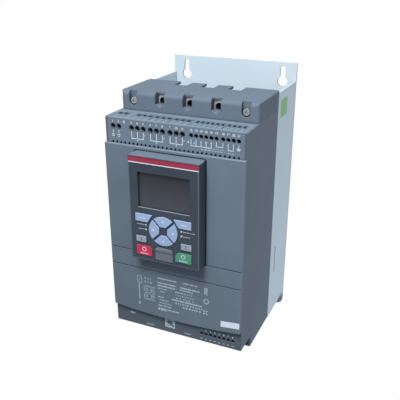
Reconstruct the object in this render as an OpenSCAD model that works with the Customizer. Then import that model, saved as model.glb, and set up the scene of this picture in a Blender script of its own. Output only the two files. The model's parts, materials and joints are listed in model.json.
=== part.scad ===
// Wall-mounted three-phase soft starter with a plug-in keypad.
// X runs to the right, the front faces -Y and Z is up. The origin lies on the wall plane,
// in the middle of the width and level with the underside of the body.

/* [Body] */
// Width of the body
body_w = 150; // [148:1:180]
// Depth of the sheet-metal chassis that stands on the wall
chassis_depth = 67; // [66:1:90]
// Depth of the plastic housing in front of the chassis, up to the terminal panel
housing_depth = 93.5; // [90:0.5:120]
// Height of the front box, from its underside to the terminal ledge
front_h = 238.5; // [230:0.5:280]
// Height of the line-side block above the ledge
head_h = 20; // [18:0.5:30]
// Height of the load-side block below the front box
foot_h = 15.5; // [15:0.5:30]
// Wall thickness of the plastic mouldings
wall = 2.5; // [2:0.1:3]
// Radius of the upright front edges of the front box
box_round = 0.8; // [0.4:0.1:1.6]

/* [Chassis] */
// Thickness of the chassis sheet
sheet = 2; // [1.5:0.1:3]
// Outside radius of the chassis folds
fold_r = 3; // [2:0.5:5]
// Height of the mounting plate above the top of the housing
plate_over = 17; // [16:0.5:30]
// How far the mounting plate reaches below the underside
plate_under = 19.5; // [18:0.5:30]
// Radius of the lower corners of the mounting plate
plate_round = 8; // [4:0.5:12]
// Drop of the chassis side walls below the top of the housing
side_drop = 2.8; // [1:0.1:10]
// Distance between the wall screws across the width
wall_screw_pitch = 118; // [100:1:122]
// Width of the keyhole slots and diameter of the lower holes
wall_screw_d = 6; // [5:0.1:7]
// Diameter of the round end of a keyhole
keyhole_d = 11.5; // [10:0.1:13]
// Length of a keyhole between the centres of its two ends
keyhole_run = 14.2; // [12:0.1:16]

/* [Cooling] */
// Thickness of the heat sink's base plate
sink_base = 10; // [8:0.5:14]
// Thickness of a cooling fin
fin_t = 1.8; // [1.2:0.1:2.5]
// Number of cooling fins
fin_count = 15; // [9:1:19]
// Side of the square fan frames
fan_size = 60; // [56:1:62]
// Thickness of the fans
fan_t = 25; // [22:1:28]
// Distance between the two fan axes
fan_pitch = 64; // [63:1:72]

/* [Line and load blocks] */
// Depth of the line-side block in front of the chassis
line_depth = 61.5; // [60:0.5:75]
// Depth of the load-side block in front of the chassis
load_depth = 65; // [60:0.5:75]
// Distance between neighbouring poles
pole_pitch = 30.5; // [29:0.5:32]
// Radius of the rounded front edges of the blocks
block_round = 5; // [3:0.5:6]
// Width of the driver openings
access_w = 10.4; // [9:0.1:12]
// Height of the driver openings, measured from the outer face of the block
access_h = 12; // [10:0.1:13]
// How far the driver openings cut back into the outer face of the block
access_back = 7; // [6:0.1:8]
// Setback of the terminal lugs from the front of the block
lug_setback = 8.6; // [8.2:0.1:12]
// Width of the cable notches
notch_w = 14.5; // [12:0.5:18]
// Depth of the cable notches
notch_depth = 17; // [14:0.5:20]
// Offset of the cable notches to the right of their poles
notch_shift = 1.9; // [0:0.1:3]
// Width of the screw recesses
recess_w = 9; // [8.6:0.1:11]
// Depth of the screw recesses
recess_depth = 4.5; // [4:0.1:6]

/* [Front cover] */
// How far the front cover stands proud of the terminal panel
cover_proud = 4.5; // [4:0.1:7]
// Height of the terminal panel above the front cover
panel_h = 26; // [24:0.5:34]
// Height of the base strip below the lower corners of the front cover
strip_h = 24.5; // [23:0.5:30]
// How far the lower edge of the front cover dips in the middle
cover_dip = 4; // [1:0.5:6]
// Radius of the upright edges of the front cover
cover_round = 1.6; // [0.5:0.1:2]
// Height of the upper groove above the underside of the front box
upper_groove = 97.3; // [90:0.1:105]
// Height of the lower groove above the underside of the front box
lower_groove = 77.1; // [65:0.1:85]
// Width of the grooves
groove_w = 1.2; // [0.8:0.1:2]

/* [Control terminals] */
// Pitch of the supply and relay terminals
relay_pitch = 6.5; // [6:0.05:6.8]
// Pitch of the signal terminals
signal_pitch = 5.15; // [5:0.05:5.3]
// Pitch of the communication terminals
comms_pitch = 5.1; // [5:0.05:5.3]
// Diameter of the driver holes over the supply and relay terminals
relay_hole_d = 4.7; // [4:0.1:5]
// Diameter of the driver holes over the signal terminals
signal_hole_d = 4.2; // [3.6:0.1:4.5]
// Height of the driver holes below the ledge
terminal_drop = 9; // [8.5:0.1:9.5]

/* [Keypad] */
// Width of the keypad
keypad_w = 76.2; // [74:0.1:90]
// Height of the keypad
keypad_h = 112; // [110:0.5:125]
// How far the keypad stands proud of the front cover
keypad_proud = 14.5; // [13.5:0.1:20]
// Distance from the top of the front cover to the top of the keypad
keypad_drop = 3.3; // [3.2:0.1:8]
// Offset of the keypad's middle from the middle of the body
keypad_shift = -2.2; // [-6:0.1:4]
// Radius of the keypad's corners
keypad_round = 2.5; // [1:0.1:4]
// Depth of the pocket in the front cover that holds the keypad
pocket_depth = 6; // [5:0.1:8]
// Gap round the keypad in its pocket
pocket_gap = 0.9; // [0.4:0.1:1.4]
// How far the keys stand proud of the bezel
key_proud = 1; // [0.8:0.1:1.5]
// Travel of the keys
key_travel = 0.8; // [0.4:0.1:0.8]
// Radius of the ring of direction keys
ring_r = 15.6; // [14:0.1:16.5]

/* [Hidden] */
$fn = 48;
EPS = 1;
// Growth of a corner's 45 degree clip while its outline grows by 1 mm
CLIP_GROW = 2 - sqrt(2);

half_w = body_w / 2;
inner_w = half_w - wall;
y_chassis = -chassis_depth;
y_panel = y_chassis - housing_depth;
y_cover = y_panel - cover_proud;
y_key = y_cover - keypad_proud;
y_head = y_chassis - line_depth;
y_foot = y_chassis - load_depth;
z_ledge = foot_h + front_h;
z_top = z_ledge + head_h;
z_cover_top = z_ledge - panel_h;
z_cover_low = foot_h + strip_h;
poles = [for (i = [-1:1]) i * pole_pitch];

// Chassis: the keyhole slots end a little below the plate's top edge
plate_top = z_top + plate_over;
keyhole_margin = 4;
keyhole_z = plate_top - keyhole_margin - wall_screw_d / 2;
lower_hole_z = -plate_under / 2;
side_top = z_top - side_drop;

// Upright beads pressed into the chassis walls
bead_back = 49.7;
bead_low = 54;
bead_h = 34;
bead_w = 3.2;
bead_depth = 0.9;

// Fans stand on the chassis floor against the mounting plate, below the heat sink
fan_y = -sheet - fan_size / 2;
fan_rim = 1.5;
fan_bore_r = fan_size / 2 - fan_rim;
fan_hole_inset = 5;
fan_hole_r = 2.15;
fan_corner = 3;
fan_hub_r = 12.5;
fan_shell = 1.7;
fan_shaft_r = 1.5;
shaft_fit = 0.05;
fan_tip_gap = 0.9;
fan_blades = 7;
blade_t = 1.2;
blade_l = 20;
blade_root = 3.5;
blade_pitch = 48;
hub_floor = 3;
strut_w = 3;
bearing_r = 4;
bearing_len = 12;
rotor_lift = 1.5;
rotor_drop = 2;
shaft_lift = 0.5;
sink_lift = 1;
sink_drop = 14;
sink_z0 = sheet + fan_t + sink_lift;
sink_z1 = z_top - sink_drop;
fin_drop = 26;
fin_z1 = sink_z1 - fin_drop;
fin_end_gap = 2;
fin_edge = 6;

// Terminal lugs, measured inwards from the outer face of their block
lug_w = 19;
lug_top = 3;
lug_h = 16;
lug_rear = 3;
lug_step = 3.5;
lug_bore_d = 8;
lug_bore_drop = 9.7;
window_w = 13;
window_l = 16;
window_rear = 5;
clamp_screw_l = 20;
clamp_screw_sunk = 9;
socket_w = 4;
socket_depth = 6;
screw_fit = 0.05;

// Cover screws and the posts that take them
screw_edge = 14;
screw_x = half_w - screw_edge;
screw_drop = 10.4;
screw_head_r = 3.3;
screw_head_h = 2.6;
screw_shank_r = 1.9;
screw_len = 12;
screw_tip_gap = 1;
cross_l = 4.4;
cross_w = 1.1;
cross_depth = 1.6;
post_w = 10;
post_len = 15;
post_gap = 0.5;

// Trays and partition of the inner frame
tray_drop = 32;
tray_t = 2;
part_t = 2;
part_back = 4;
seat_w = 16;
seat_front = 1;
seat_rear = 6;
y_part = y_head + part_back;
z_line_tray = z_top - tray_drop;
z_load_tray = tray_drop;
cheek = 1.5;
rib_t = 1.6;
access_round = 2;
lead_r = 3.2;
lead_d = 1.5;

// Power parts on the heat sink
bar_w = 12;
bar_t = 2.5;
bar_foot = 15;
bar_lap = 22;
bar_gap = 1;
module_w = 27;
module_d = 30;
module_h = 72;
module_base = 4;
module_lip = 1.5;
module_end = 3;
module_drop = 52;
module_top = z_top - module_drop;
y_bar = y_chassis - module_d;
gate_post_r = 3;
gate_post_l = 13.4;
y_power = y_bar - gate_post_l;
power_edge = 14.5;
power_h = 88;
power_t = 1.6;
driver_w = 16;
driver_h = 20;
driver_d = 6;
driver_rise = 8;
coil_r = 4;
coil_shift = 12;
coil_rise = 60;
pole_side = 27;
contactor_w = 2 * pole_pitch + pole_side;
contactor_h = 68;
contactor_gap = 10;
contactor_z = module_top - module_h - contactor_h - contactor_gap;
bridge_d = 6;
bridge_inset = 8;
ct_w = 2 * pole_pitch + pole_side;
ct_d = 26;
ct_h = 22;
ct_round = 3;

// Control board and terminals
board_t = 1.6;
board_standoff = 6.9;
board_h = 150;
board_edge = 6.5;
board_w = 2 * (inner_w - board_edge);
board_post_r = 3;
board_inset = 8;
board_gap = 1.5;
y_board = y_part - board_standoff - board_t;
board_top = z_ledge - wall - board_gap;
relay_w = 18;
relay_h = 28;
relay_d = 12;
relay_drop = 20;
chip_w = 24;
chip_t = 2;
chip_x = 20;
chip_rise = 40;
seat_gap = 0.1;
terminal_h = 14;
terminal_z = z_ledge - terminal_drop;
row_gap = 0.2;
slot_back = 13;
slot_len = 8.5;
slot_web = 1.8;
slot_depth = 4;
slot_rib = 0.7;
slot_rib_h = 0.4;
slot_rib_back = 3;
vent_pitch = 4.62;
vent_edge = 5.4;
vent_count = floor((2 * inner_w - 2 * vent_edge) / vent_pitch) + 1;
vent_w = 1.9;
vent_h = 2.2;
well_r = 1.9;
well_depth = 9;
terminal_screw_r = 1.7;
terminal_screw_l = 5;
screw_slot_w = 0.6;
screw_slot_depth = 0.8;
comms_ways = 8;
comms_edge = 9.4;
comms_x = half_w - comms_edge - (comms_ways - 1) * comms_pitch;
comms_drop = 9.9;
comms_z = foot_h + comms_drop;
comms_h = 14;
comms_len = 18;
comms_wire_back = 6;
comms_slot_len = 5.5;
y_comms_wire = y_panel + comms_wire_back;

// Groups of control terminals: each has its ways, and the width they leave is shared out
// as the spaces before each group and, last, behind them all
group_ways = [2, 3, 3, 3, 6, 4];
group_pitch = [relay_pitch, relay_pitch, relay_pitch, relay_pitch, signal_pitch, signal_pitch];
group_share = [3, 8, 1.4, 1.6, 3.2, 1.4, 3.4];
groups = [0:5];
group_w = [for (k = groups) group_ways[k] * group_pitch[k]];
spare_w = (2 * inner_w - upto(group_w, 5)) / upto(group_share, 6);
group_start = [for (k = groups)
    -inner_w + upto(group_w, k - 1) + upto(group_share, k) * spare_w + group_pitch[k] / 2];

// Front cover
groove_depth = 0.9;
hook_h = 12;
hook_len = 8;
hook_t = 1.5;
hook_rise = 20;
hook_drop = 30;
pocket_wall = 2;
plug_w = 18;
plug_h = 16;
plug_rise = 63;
plug_round = 1;
plug_gap = 1;
plug_d = 10;
strip_lap = 6;
z_strip = z_cover_low + strip_lap;
cover_arc_r = (pow(half_w, 2) + pow(cover_dip, 2)) / (2 * cover_dip);

// Keypad, placed from its middle and its upper edge
kx = keypad_shift;
kz1 = z_cover_top - keypad_drop;
kz0 = kz1 - keypad_h;
y_pocket = y_cover + pocket_depth;
shell_t = 2.5;
shell_top = 1;
y_shell = y_pocket - shell_t;
bezel_t = 2.5;
bezel_side = 2;
bezel_chamfer = 0.8;
band_h = 5.4;
band_t = 0.6;
window_margin = 10.1;
window_x = keypad_w / 2 - window_margin;
window_rise = 59.2;
window_drop = 16.4;
window_low = kz0 + window_rise;
window_high = kz1 - window_drop;
window_lap = 2;
window_t = 1.5;
display_inset = 1;
pad_board_back = 8;
pad_board_t = 1.6;
pad_board_gap = 0.6;
pad_board_edge = 4;
y_pad_board = y_key + pad_board_back;
pad_post_r = 2.2;
pad_post_inset = 5.1;
pad_post_end = 10;

// Keys, placed from a middle line of their own; they stop just short of the domes
key_shift = -0.9;
x_keys = kx + key_shift;
key_gap = 0.35;
flange = 0.45;
flange_t = 1;
flange_gap = 0.3;
dome_r = 2.2;
dome_h = 0.3;
dome_gap = 0.1;
stem_r = 2;
key_stem = pad_board_back - dome_h - key_travel - dome_gap;
key_margin = 7.6;
key_half = keypad_w / 2 - key_margin;
ring_rise = 36.6;
ring_z = kz0 + ring_rise;
ring_inner = 4.6;
ring_gap = 1.6;
ring_mid = (ring_r + ring_inner) / 2;
soft_rise = 43.6;
soft_h = 8.3;
soft_z = [kz0 + soft_rise, kz0 + soft_rise + soft_h];
soft_top_x = 11.9;
soft_low_x = 17.2;
small_rise = 20.8;
small_h = 6.4;
small_z = [kz0 + small_rise, kz0 + small_rise + small_h];
small_x = 19.4;
drive_rise = 6.2;
drive_h = 10.6;
drive_z = [kz0 + drive_rise, kz0 + drive_rise + drive_h];
drive_x = 13.1;
drive_clip = 3;
soft_stem_in = 7;
small_stem_in = 5;
drive_stem_in = 9;
soft_stem_x = key_half - soft_stem_in;
small_stem_x = key_half - small_stem_in;
drive_stem_x = key_half - drive_stem_in;
light_x = 19.6;
light_rise = 35.2;
light_pitch = 5;
light_z = [kz0 + light_rise, kz0 + light_rise + light_pitch];
light_r = 0.9;
flap_w = 19.6;
flap_rise = 2.3;
flap_h = 15.6;
flap_z = [kz0 + flap_rise, kz0 + flap_rise + flap_h];
flap_t = 2;
flap_clip = 2.2;
flap_pin_r = 0.8;
flap_pin_l = 1.2;
flap_pivot_y = y_key + bezel_t / 2;
flap_pivot_z = flap_z[0] + bezel_t / 2;
grip_h = 3;
grip_proud = 0.8;
grip_drop = 1.4;
port_w = 7.7;
port_h = 3.9;
port_wall = 0.5;
port_gap = 0.8;

// Colours as the photograph shows them
slate = "#66717e";
dark_slate = "#3c444d";
pale_metal = "#c3d2dd";
bare_metal = "#b9bcc0";
copper = "#b8734a";
board_green = "#2f6b46";
key_blue = "#b9c6e2";
key_grey = "#aab0b4";

// Basic shapes

// Middle of a pair of limits
function mid(pair) = (pair[0] + pair[1]) / 2;

// Sum of a list's first entries, up to and with number n
function upto(list, n) = n < 0 ? 0 : list[n] + upto(list, n - 1);

// Box between a low and a high corner
module block(lo, hi) {
    translate(lo) cube(hi - lo);
}

// Round bars along one axis
module rod_y(x, z, r, y0, y1) {
    translate([x, y1, z]) rotate([90, 0, 0]) cylinder(r = r, h = y1 - y0);
}
module rod_z(x, y, r, z0, z1) {
    translate([x, y, z0]) cylinder(r = r, h = z1 - z0);
}
module rod_x(y, z, r, x0, x1) {
    translate([x0, y, z]) rotate([0, 90, 0]) cylinder(r = r, h = x1 - x0);
}

// An outline drawn in X and Z that fills the depth from y0 to y1
module plate_y(y0, y1) {
    translate([0, y1, 0]) rotate([90, 0, 0]) linear_extrude(y1 - y0) children();
}

// An outline drawn in Y and Z that fills the width from x0 to x1
module plate_x(x0, x1) {
    translate([x0, 0, 0]) rotate([90, 0, 90]) linear_extrude(x1 - x0) children();
}

// Rectangle with the chosen corners rounded: [low left, low right, high left, high right]
module rounded(lo, hi, r, corners = [1, 1, 1, 1]) {
    translate([lo.x + r, lo.y]) square([hi.x - lo.x - 2 * r, hi.y - lo.y]);
    translate([lo.x, lo.y + r]) square([hi.x - lo.x, hi.y - lo.y - 2 * r]);
    for (k = [0:3]) {
        right = k % 2;
        high = floor(k / 2);
        x = right ? hi.x - r : lo.x + r;
        y = high ? hi.y - r : lo.y + r;
        if (corners[k])
            translate([x, y]) circle(r);
        else
            translate([right ? x : lo.x, high ? y : lo.y]) square(r);
    }
}

// Rear chassis: one folded sheet with mounting plate, side walls and floor

module keyhole(x) {
    rod_y(x, keyhole_z, wall_screw_d / 2, -sheet - EPS, EPS);
    rod_y(x, keyhole_z - keyhole_run, keyhole_d / 2, -sheet - EPS, EPS);
    block([x - wall_screw_d / 2, -sheet - EPS, keyhole_z - keyhole_run],
          [x + wall_screw_d / 2, EPS, keyhole_z]);
}

module rear_chassis() {
    color(pale_metal) difference() {
        union() {
            plate_y(-sheet, 0)
                rounded([-half_w, -plate_under], [half_w, plate_top], plate_round, [1, 1, 0, 0]);
            linear_extrude(side_top) difference() {
                rounded([-half_w, y_chassis], [half_w, 0], fold_r, [0, 0, 1, 1]);
                translate([-half_w + sheet, y_chassis - EPS])
                    square([body_w - 2 * sheet, chassis_depth - sheet + EPS]);
            }
            block([-half_w + sheet, y_chassis, 0], [half_w - sheet, -sheet, sheet]);
        }
        for (s = [-1, 1]) {
            keyhole(s * wall_screw_pitch / 2);
            rod_y(s * wall_screw_pitch / 2, lower_hole_z, wall_screw_d / 2, -sheet - EPS, EPS);
            rod_z(s * fan_pitch / 2, fan_y, fan_bore_r, -EPS, sheet + EPS);
        }
        for (x = [-half_w - EPS, half_w - bead_depth])
            block([x, -bead_back - bead_w / 2, bead_low],
                  [x + bead_depth + EPS, -bead_back + bead_w / 2, bead_low + bead_h]);
    }
}

// Heat sink: base plate between the chassis walls, with upright fins behind it

module heat_sink() {
    base_x = half_w - sheet;
    fin_x = base_x - fin_edge;
    fin_step = 2 * fin_x / (fin_count - 1);
    color(bare_metal) {
        block([-base_x, y_chassis, sink_z0], [base_x, y_chassis + sink_base, sink_z1]);
        for (k = [0:fin_count - 1]) {
            x = -fin_x + k * fin_step;
            block([x - fin_t / 2, y_chassis + sink_base, sink_z0],
                  [x + fin_t / 2, -sheet - fin_end_gap, fin_z1]);
        }
    }
}

// Fans: square frame with a bearing on struts, and a bladed rotor on a shaft

module fan_frame(x) {
    fan_hole_at = fan_size / 2 - fan_hole_inset;
    strut_x = fan_bore_r + fan_rim / 2;
    translate([x, fan_y, sheet]) color(dark_slate) difference() {
        union() {
            difference() {
                linear_extrude(fan_t)
                    rounded([-fan_size / 2, -fan_size / 2], [fan_size / 2, fan_size / 2], fan_corner);
                rod_z(0, 0, fan_bore_r, -EPS, fan_t + EPS);
            }
            rod_z(0, 0, fan_hub_r, 0, hub_floor);
            rod_z(0, 0, bearing_r, 0, bearing_len);
            for (a = [45, 135])
                rotate(a) block([-strut_x, -strut_w / 2, 0], [strut_x, strut_w / 2, hub_floor]);
        }
        rod_z(0, 0, fan_shaft_r + shaft_fit, -EPS, bearing_len + EPS);
        for (sx = [-1, 1], sy = [-1, 1])
            translate([sx * fan_hole_at, sy * fan_hole_at, 0]) rod_z(0, 0, fan_hole_r, -EPS, fan_t + EPS);
    }
}

module fan_rotor(x) {
    cup_low = hub_floor + rotor_lift;
    cup_top = fan_t - rotor_drop;
    blade_x = fan_hub_r - blade_root;
    blade_z = (cup_low + cup_top) / 2;
    translate([x, fan_y, sheet]) color("#2b3036") {
        difference() {
            union() {
                rod_z(0, 0, fan_hub_r, cup_low, cup_top);
                intersection() {
                    rod_z(0, 0, fan_bore_r - fan_tip_gap, cup_low, cup_top);
                    for (k = [0:fan_blades - 1])
                        rotate(k * 360 / fan_blades) translate([0, 0, blade_z])
                            rotate([blade_pitch, 0, 0])
                            block([blade_x, -blade_l / 2, -blade_t / 2],
                                  [fan_bore_r, blade_l / 2, blade_t / 2]);
                }
            }
            rod_z(0, 0, fan_hub_r - fan_shell, cup_low - EPS, cup_top - fan_shell);
        }
        rod_z(0, 0, fan_shaft_r, shaft_lift, cup_top - fan_shell);
    }
}

module left_fan_frame() {
    fan_frame(-fan_pitch / 2);
}
module right_fan_frame() {
    fan_frame(fan_pitch / 2);
}
module left_fan_rotor() {
    fan_rotor(-fan_pitch / 2);
}
module right_fan_rotor() {
    fan_rotor(fan_pitch / 2);
}

// Main housing: side walls and base strip. Inner frame: partition and the trays under the terminals

// Puts what is measured inwards from the upper outer face on the line side
module line_side() {
    translate([0, 0, z_top]) children();
}

// Puts the mirror image of it on the load side
module load_side() {
    mirror([0, 0, 1]) children();
}

// Tray, lug seats and screw posts of one side, below the outer face at height 0
module terminal_tray(depth) {
    y_front = y_chassis - depth;
    difference() {
        union() {
            block([-inner_w, y_part, -tray_drop - tray_t], [inner_w, y_chassis, -tray_drop]);
            for (x = poles)
                block([x - seat_w / 2, y_front + lug_setback + seat_front, -tray_drop - tray_t / 2],
                      [x + seat_w / 2, y_bar - seat_rear, -lug_top - lug_h]);
            for (s = [-1, 1])
                translate([s * screw_x, y_front + recess_depth + wall, 0])
                    block([-post_w / 2, 0, -tray_drop - tray_t / 2],
                          [post_w / 2, post_len, -wall - post_gap]);
        }
        for (x = poles)
            block([x - bar_w / 2 - bar_gap, y_bar - bar_t - bar_gap, -tray_drop - tray_t - EPS],
                  [x + bar_w / 2 + bar_gap, y_bar + bar_gap, -tray_drop + EPS]);
        for (s = [-1, 1])
            rod_y(s * screw_x, -screw_drop, screw_shank_r,
                  y_front, y_front + recess_depth + wall + screw_len);
    }
}

module main_housing() {
    color(slate) difference() {
        union() {
            difference() {
                intersection() {
                    translate([0, 0, foot_h]) linear_extrude(front_h)
                        rounded([-half_w, y_panel], [half_w, y_chassis], box_round, [1, 1, 0, 0]);
                    plate_x(-half_w, half_w)
                        rounded([y_panel, foot_h], [y_chassis, z_ledge], box_round, [1, 0, 1, 0]);
                }
                block([-inner_w, y_panel - EPS, foot_h - EPS], [inner_w, y_chassis + EPS, z_ledge + EPS]);
            }
            plate_x(-inner_w, inner_w) difference() {
                rounded([y_panel, foot_h], [y_foot + wall, z_strip], box_round, [1, 0, 0, 0]);
                translate([y_panel + wall, foot_h + wall]) square([housing_depth, front_h]);
            }
        }
        for (k = [0:comms_ways - 1]) {
            x = comms_x + k * comms_pitch;
            slot_x = (comms_pitch - slot_web) / 2;
            rod_y(x, comms_z, signal_hole_d / 2, y_panel - EPS, y_panel + wall + EPS);
            block([x - slot_x, y_comms_wire, foot_h - EPS],
                  [x + slot_x, y_comms_wire + comms_slot_len, foot_h + wall + EPS]);
        }
    }
}

module inner_frame() {
    color(slate) {
        block([-inner_w, y_part, z_load_tray], [inner_w, y_part + part_t, z_line_tray]);
        line_side() terminal_tray(line_depth);
        load_side() terminal_tray(load_depth);
        for (s = [-1, 1], z = [board_top - board_inset, board_top - board_h + board_inset])
            rod_y(s * (board_w / 2 - board_inset), z, board_post_r, y_part - board_standoff, y_part);
    }
}

// Line and load terminal covers: caps with driver openings, cable notches and screw recesses

// Outside of a cap that stands on height 0, with rounded front and upper edges
module cap_body(h, depth) {
    intersection() {
        linear_extrude(h)
            rounded([-half_w, y_chassis - depth], [half_w, y_chassis], block_round, [1, 1, 0, 0]);
        plate_x(-half_w, half_w)
            rounded([y_chassis - depth, 0], [y_chassis, h], block_round, [0, 0, 1, 0]);
        plate_y(y_chassis - depth, y_chassis)
            rounded([-half_w, 0], [half_w, h], cover_round, [0, 0, 1, 1]);
    }
}

// Dish in the front face at a driver opening's lower edge, which leads the driver in
module lead_in(x, y, z) {
    translate([x, y - lead_d, z]) rotate([-90, 0, 0]) cylinder(r1 = 2 * lead_r, r2 = 0, h = 2 * lead_d);
}

module terminal_cap(h, depth) {
    y_front = y_chassis - depth;
    color(slate) difference() {
        union() {
            difference() {
                cap_body(h, depth);
                block([-inner_w, y_front + wall, -EPS], [inner_w, y_chassis + EPS, h - wall]);
            }
            for (x = poles)
                block([x - access_w / 2 - cheek, y_front + wall / 2, h - access_h - cheek],
                      [x + access_w / 2 + cheek, y_front + lug_setback - seat_gap, h - wall / 2]);
            for (s = [-1, 1])
                translate([s * screw_x, 0, 0])
                    block([-recess_w / 2 - cheek, y_front + wall / 2, h - screw_drop - recess_w / 2],
                          [recess_w / 2 + cheek, y_front + recess_depth + wall, h - wall / 2]);
            for (k = [-1.5:1.5])
                block([k * pole_pitch - rib_t / 2, y_front + wall / 2, 0],
                      [k * pole_pitch + rib_t / 2, y_chassis, h - wall / 2]);
        }
        for (x = poles) {
            block([x - access_w / 2, y_front - EPS, h - access_h],
                  [x + access_w / 2, y_front + lug_setback + EPS, h - wall]);
            translate([0, 0, h - access_h]) linear_extrude(access_h + EPS)
                rounded([x - access_w / 2, y_front - access_round - EPS],
                        [x + access_w / 2, y_front + access_back], access_round);
            lead_in(x, y_front, h - access_h);
            translate([0, 0, h - 2 * wall]) linear_extrude(2 * wall + EPS)
                rounded([x + notch_shift - notch_w / 2, y_chassis - notch_depth],
                        [x + notch_shift + notch_w / 2, y_chassis + access_round + EPS], access_round);
        }
        for (s = [-1, 1]) {
            rod_y(s * screw_x, h - screw_drop, recess_w / 2, y_front - EPS, y_front + recess_depth);
            block([s * screw_x - recess_w / 2, y_front - EPS, h - screw_drop],
                  [s * screw_x + recess_w / 2, y_front + recess_depth, h + EPS]);
            rod_y(s * screw_x, h - screw_drop, screw_shank_r, y_front, y_front + recess_depth + wall + EPS);
        }
    }
}

module line_terminal_cover() {
    translate([0, 0, z_ledge]) terminal_cap(head_h, line_depth);
}
module load_terminal_cover() {
    translate([0, 0, foot_h]) mirror([0, 0, 1]) terminal_cap(foot_h, load_depth);
}

// Pan-head screw with a cross recess, pointing along +Y from its seat
module cover_screw(x, y, z) {
    difference() {
        union() {
            rod_y(x, z, screw_head_r, y - screw_head_h, y);
            rod_y(x, z, screw_shank_r - screw_fit, y, y + wall + screw_len - screw_tip_gap);
        }
        for (a = [0, 90])
            translate([x, y - screw_head_h, z]) rotate([0, a, 0])
                block([-cross_l / 2, -EPS, -cross_w / 2], [cross_l / 2, cross_depth, cross_w / 2]);
    }
}

module cover_screws() {
    color("silver") for (s = [-1, 1]) {
        cover_screw(s * screw_x, y_head + recess_depth, z_top - screw_drop);
        cover_screw(s * screw_x, y_foot + recess_depth, screw_drop);
    }
}

// Terminal lugs: metal blocks with a lower cable window behind and a clamp screw, below the outer face at 0

module lug(x, depth) {
    y_front = y_chassis - depth + lug_setback;
    color(bare_metal) difference() {
        block([x - lug_w / 2, y_front, -lug_top - lug_h], [x + lug_w / 2, y_chassis - lug_rear, -lug_top]);
        block([x - window_w / 2, y_chassis - window_rear - window_l, -lug_top - lug_h - EPS],
              [x + window_w / 2, y_chassis - window_rear, EPS]);
        block([x - lug_w / 2 - EPS, y_chassis - notch_depth, -lug_top - lug_step],
              [x + lug_w / 2 + EPS, y_chassis, EPS]);
        rod_y(x, -lug_bore_drop, lug_bore_d / 2, y_front - EPS, y_chassis - window_rear - window_l / 2);
    }
}

module clamp_screw(x, depth) {
    y0 = y_chassis - depth + lug_setback + clamp_screw_sunk;
    difference() {
        rod_y(x, -lug_bore_drop, lug_bore_d / 2 - screw_fit, y0, y0 + clamp_screw_l);
        translate([x, y0 + socket_depth, -lug_bore_drop]) rotate([90, 0, 0])
            cylinder(d = socket_w / cos(30), h = socket_depth + EPS, $fn = 6);
    }
}

module line_terminal_1() {
    line_side() lug(poles[0], line_depth);
}
module line_terminal_2() {
    line_side() lug(poles[1], line_depth);
}
module line_terminal_3() {
    line_side() lug(poles[2], line_depth);
}
module load_terminal_1() {
    load_side() lug(poles[0], load_depth);
}
module load_terminal_2() {
    load_side() lug(poles[1], load_depth);
}
module load_terminal_3() {
    load_side() lug(poles[2], load_depth);
}
module clamp_screws() {
    color("#5a5d61") for (x = poles) {
        line_side() clamp_screw(x, line_depth);
        load_side() clamp_screw(x, load_depth);
    }
}

// Power parts: thyristor modules on the heat sink, busbars, bypass contactor and current transformer

module thyristor_module(x) {
    z0 = module_top - module_h;
    color("#d8d4c8") {
        block([x - module_w / 2, y_chassis - module_base, z0], [x + module_w / 2, y_chassis, module_top]);
        block([x - module_w / 2 + module_lip, y_bar, z0 + module_end],
              [x + module_w / 2 - module_lip, y_chassis - module_base, module_top - module_end]);
        rod_y(x, z0 + module_h / 2, gate_post_r, y_power, y_bar);
    }
}
module thyristor_module_1() {
    thyristor_module(poles[0]);
}
module thyristor_module_2() {
    thyristor_module(poles[1]);
}
module thyristor_module_3() {
    thyristor_module(poles[2]);
}

// Flat bar from a module to the lug's inner face, with a foot bent under the lug
module busbar(x, z_module, z_lug) {
    up = z_lug > z_module;
    z_foot = up ? z_lug - bar_t : z_lug;
    color(copper) {
        block([x - bar_w / 2, y_bar - bar_t, min(z_module, z_lug)],
              [x + bar_w / 2, y_bar, max(z_module, z_lug)]);
        block([x - bar_w / 2, y_bar - bar_t, z_foot],
              [x + bar_w / 2, y_bar + bar_foot - bar_t, z_foot + bar_t]);
    }
}
module line_busbar(k) {
    busbar(poles[k], module_top - module_end - bar_lap, z_top - lug_top - lug_h);
}
module load_busbar(k) {
    busbar(poles[k], module_top - module_h + module_end + bar_lap, lug_top + lug_h);
}
module line_busbar_1() {
    line_busbar(0);
}
module line_busbar_2() {
    line_busbar(1);
}
module line_busbar_3() {
    line_busbar(2);
}
module load_busbar_1() {
    load_busbar(0);
}
module load_busbar_2() {
    load_busbar(1);
}
module load_busbar_3() {
    load_busbar(2);
}

module bypass_contactor() {
    y0 = y_part + part_t;
    y1 = y_bar - bar_t - bridge_d;
    color("#3f4348") {
        block([-contactor_w / 2, y0, contactor_z], [contactor_w / 2, y1, contactor_z + contactor_h]);
        for (x = poles)
            block([x - bar_w / 2, y1, contactor_z + bridge_inset],
                  [x + bar_w / 2, y1 + bridge_d, contactor_z + contactor_h - bridge_inset]);
    }
}

module current_transformer() {
    y0 = y_bar - bar_t / 2 - ct_d / 2;
    z0 = z_load_tray + tray_t;
    color("#2d3237") difference() {
        plate_y(y0, y0 + ct_d) rounded([-ct_w / 2, z0], [ct_w / 2, z0 + ct_h], ct_round, [0, 0, 1, 1]);
        for (x = poles)
            block([x - bar_w / 2 - bar_gap, y_bar - bar_t - bar_gap, z0 - EPS],
                  [x + bar_w / 2 + bar_gap, y_bar + bar_gap, z0 + ct_h + EPS]);
    }
}

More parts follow.
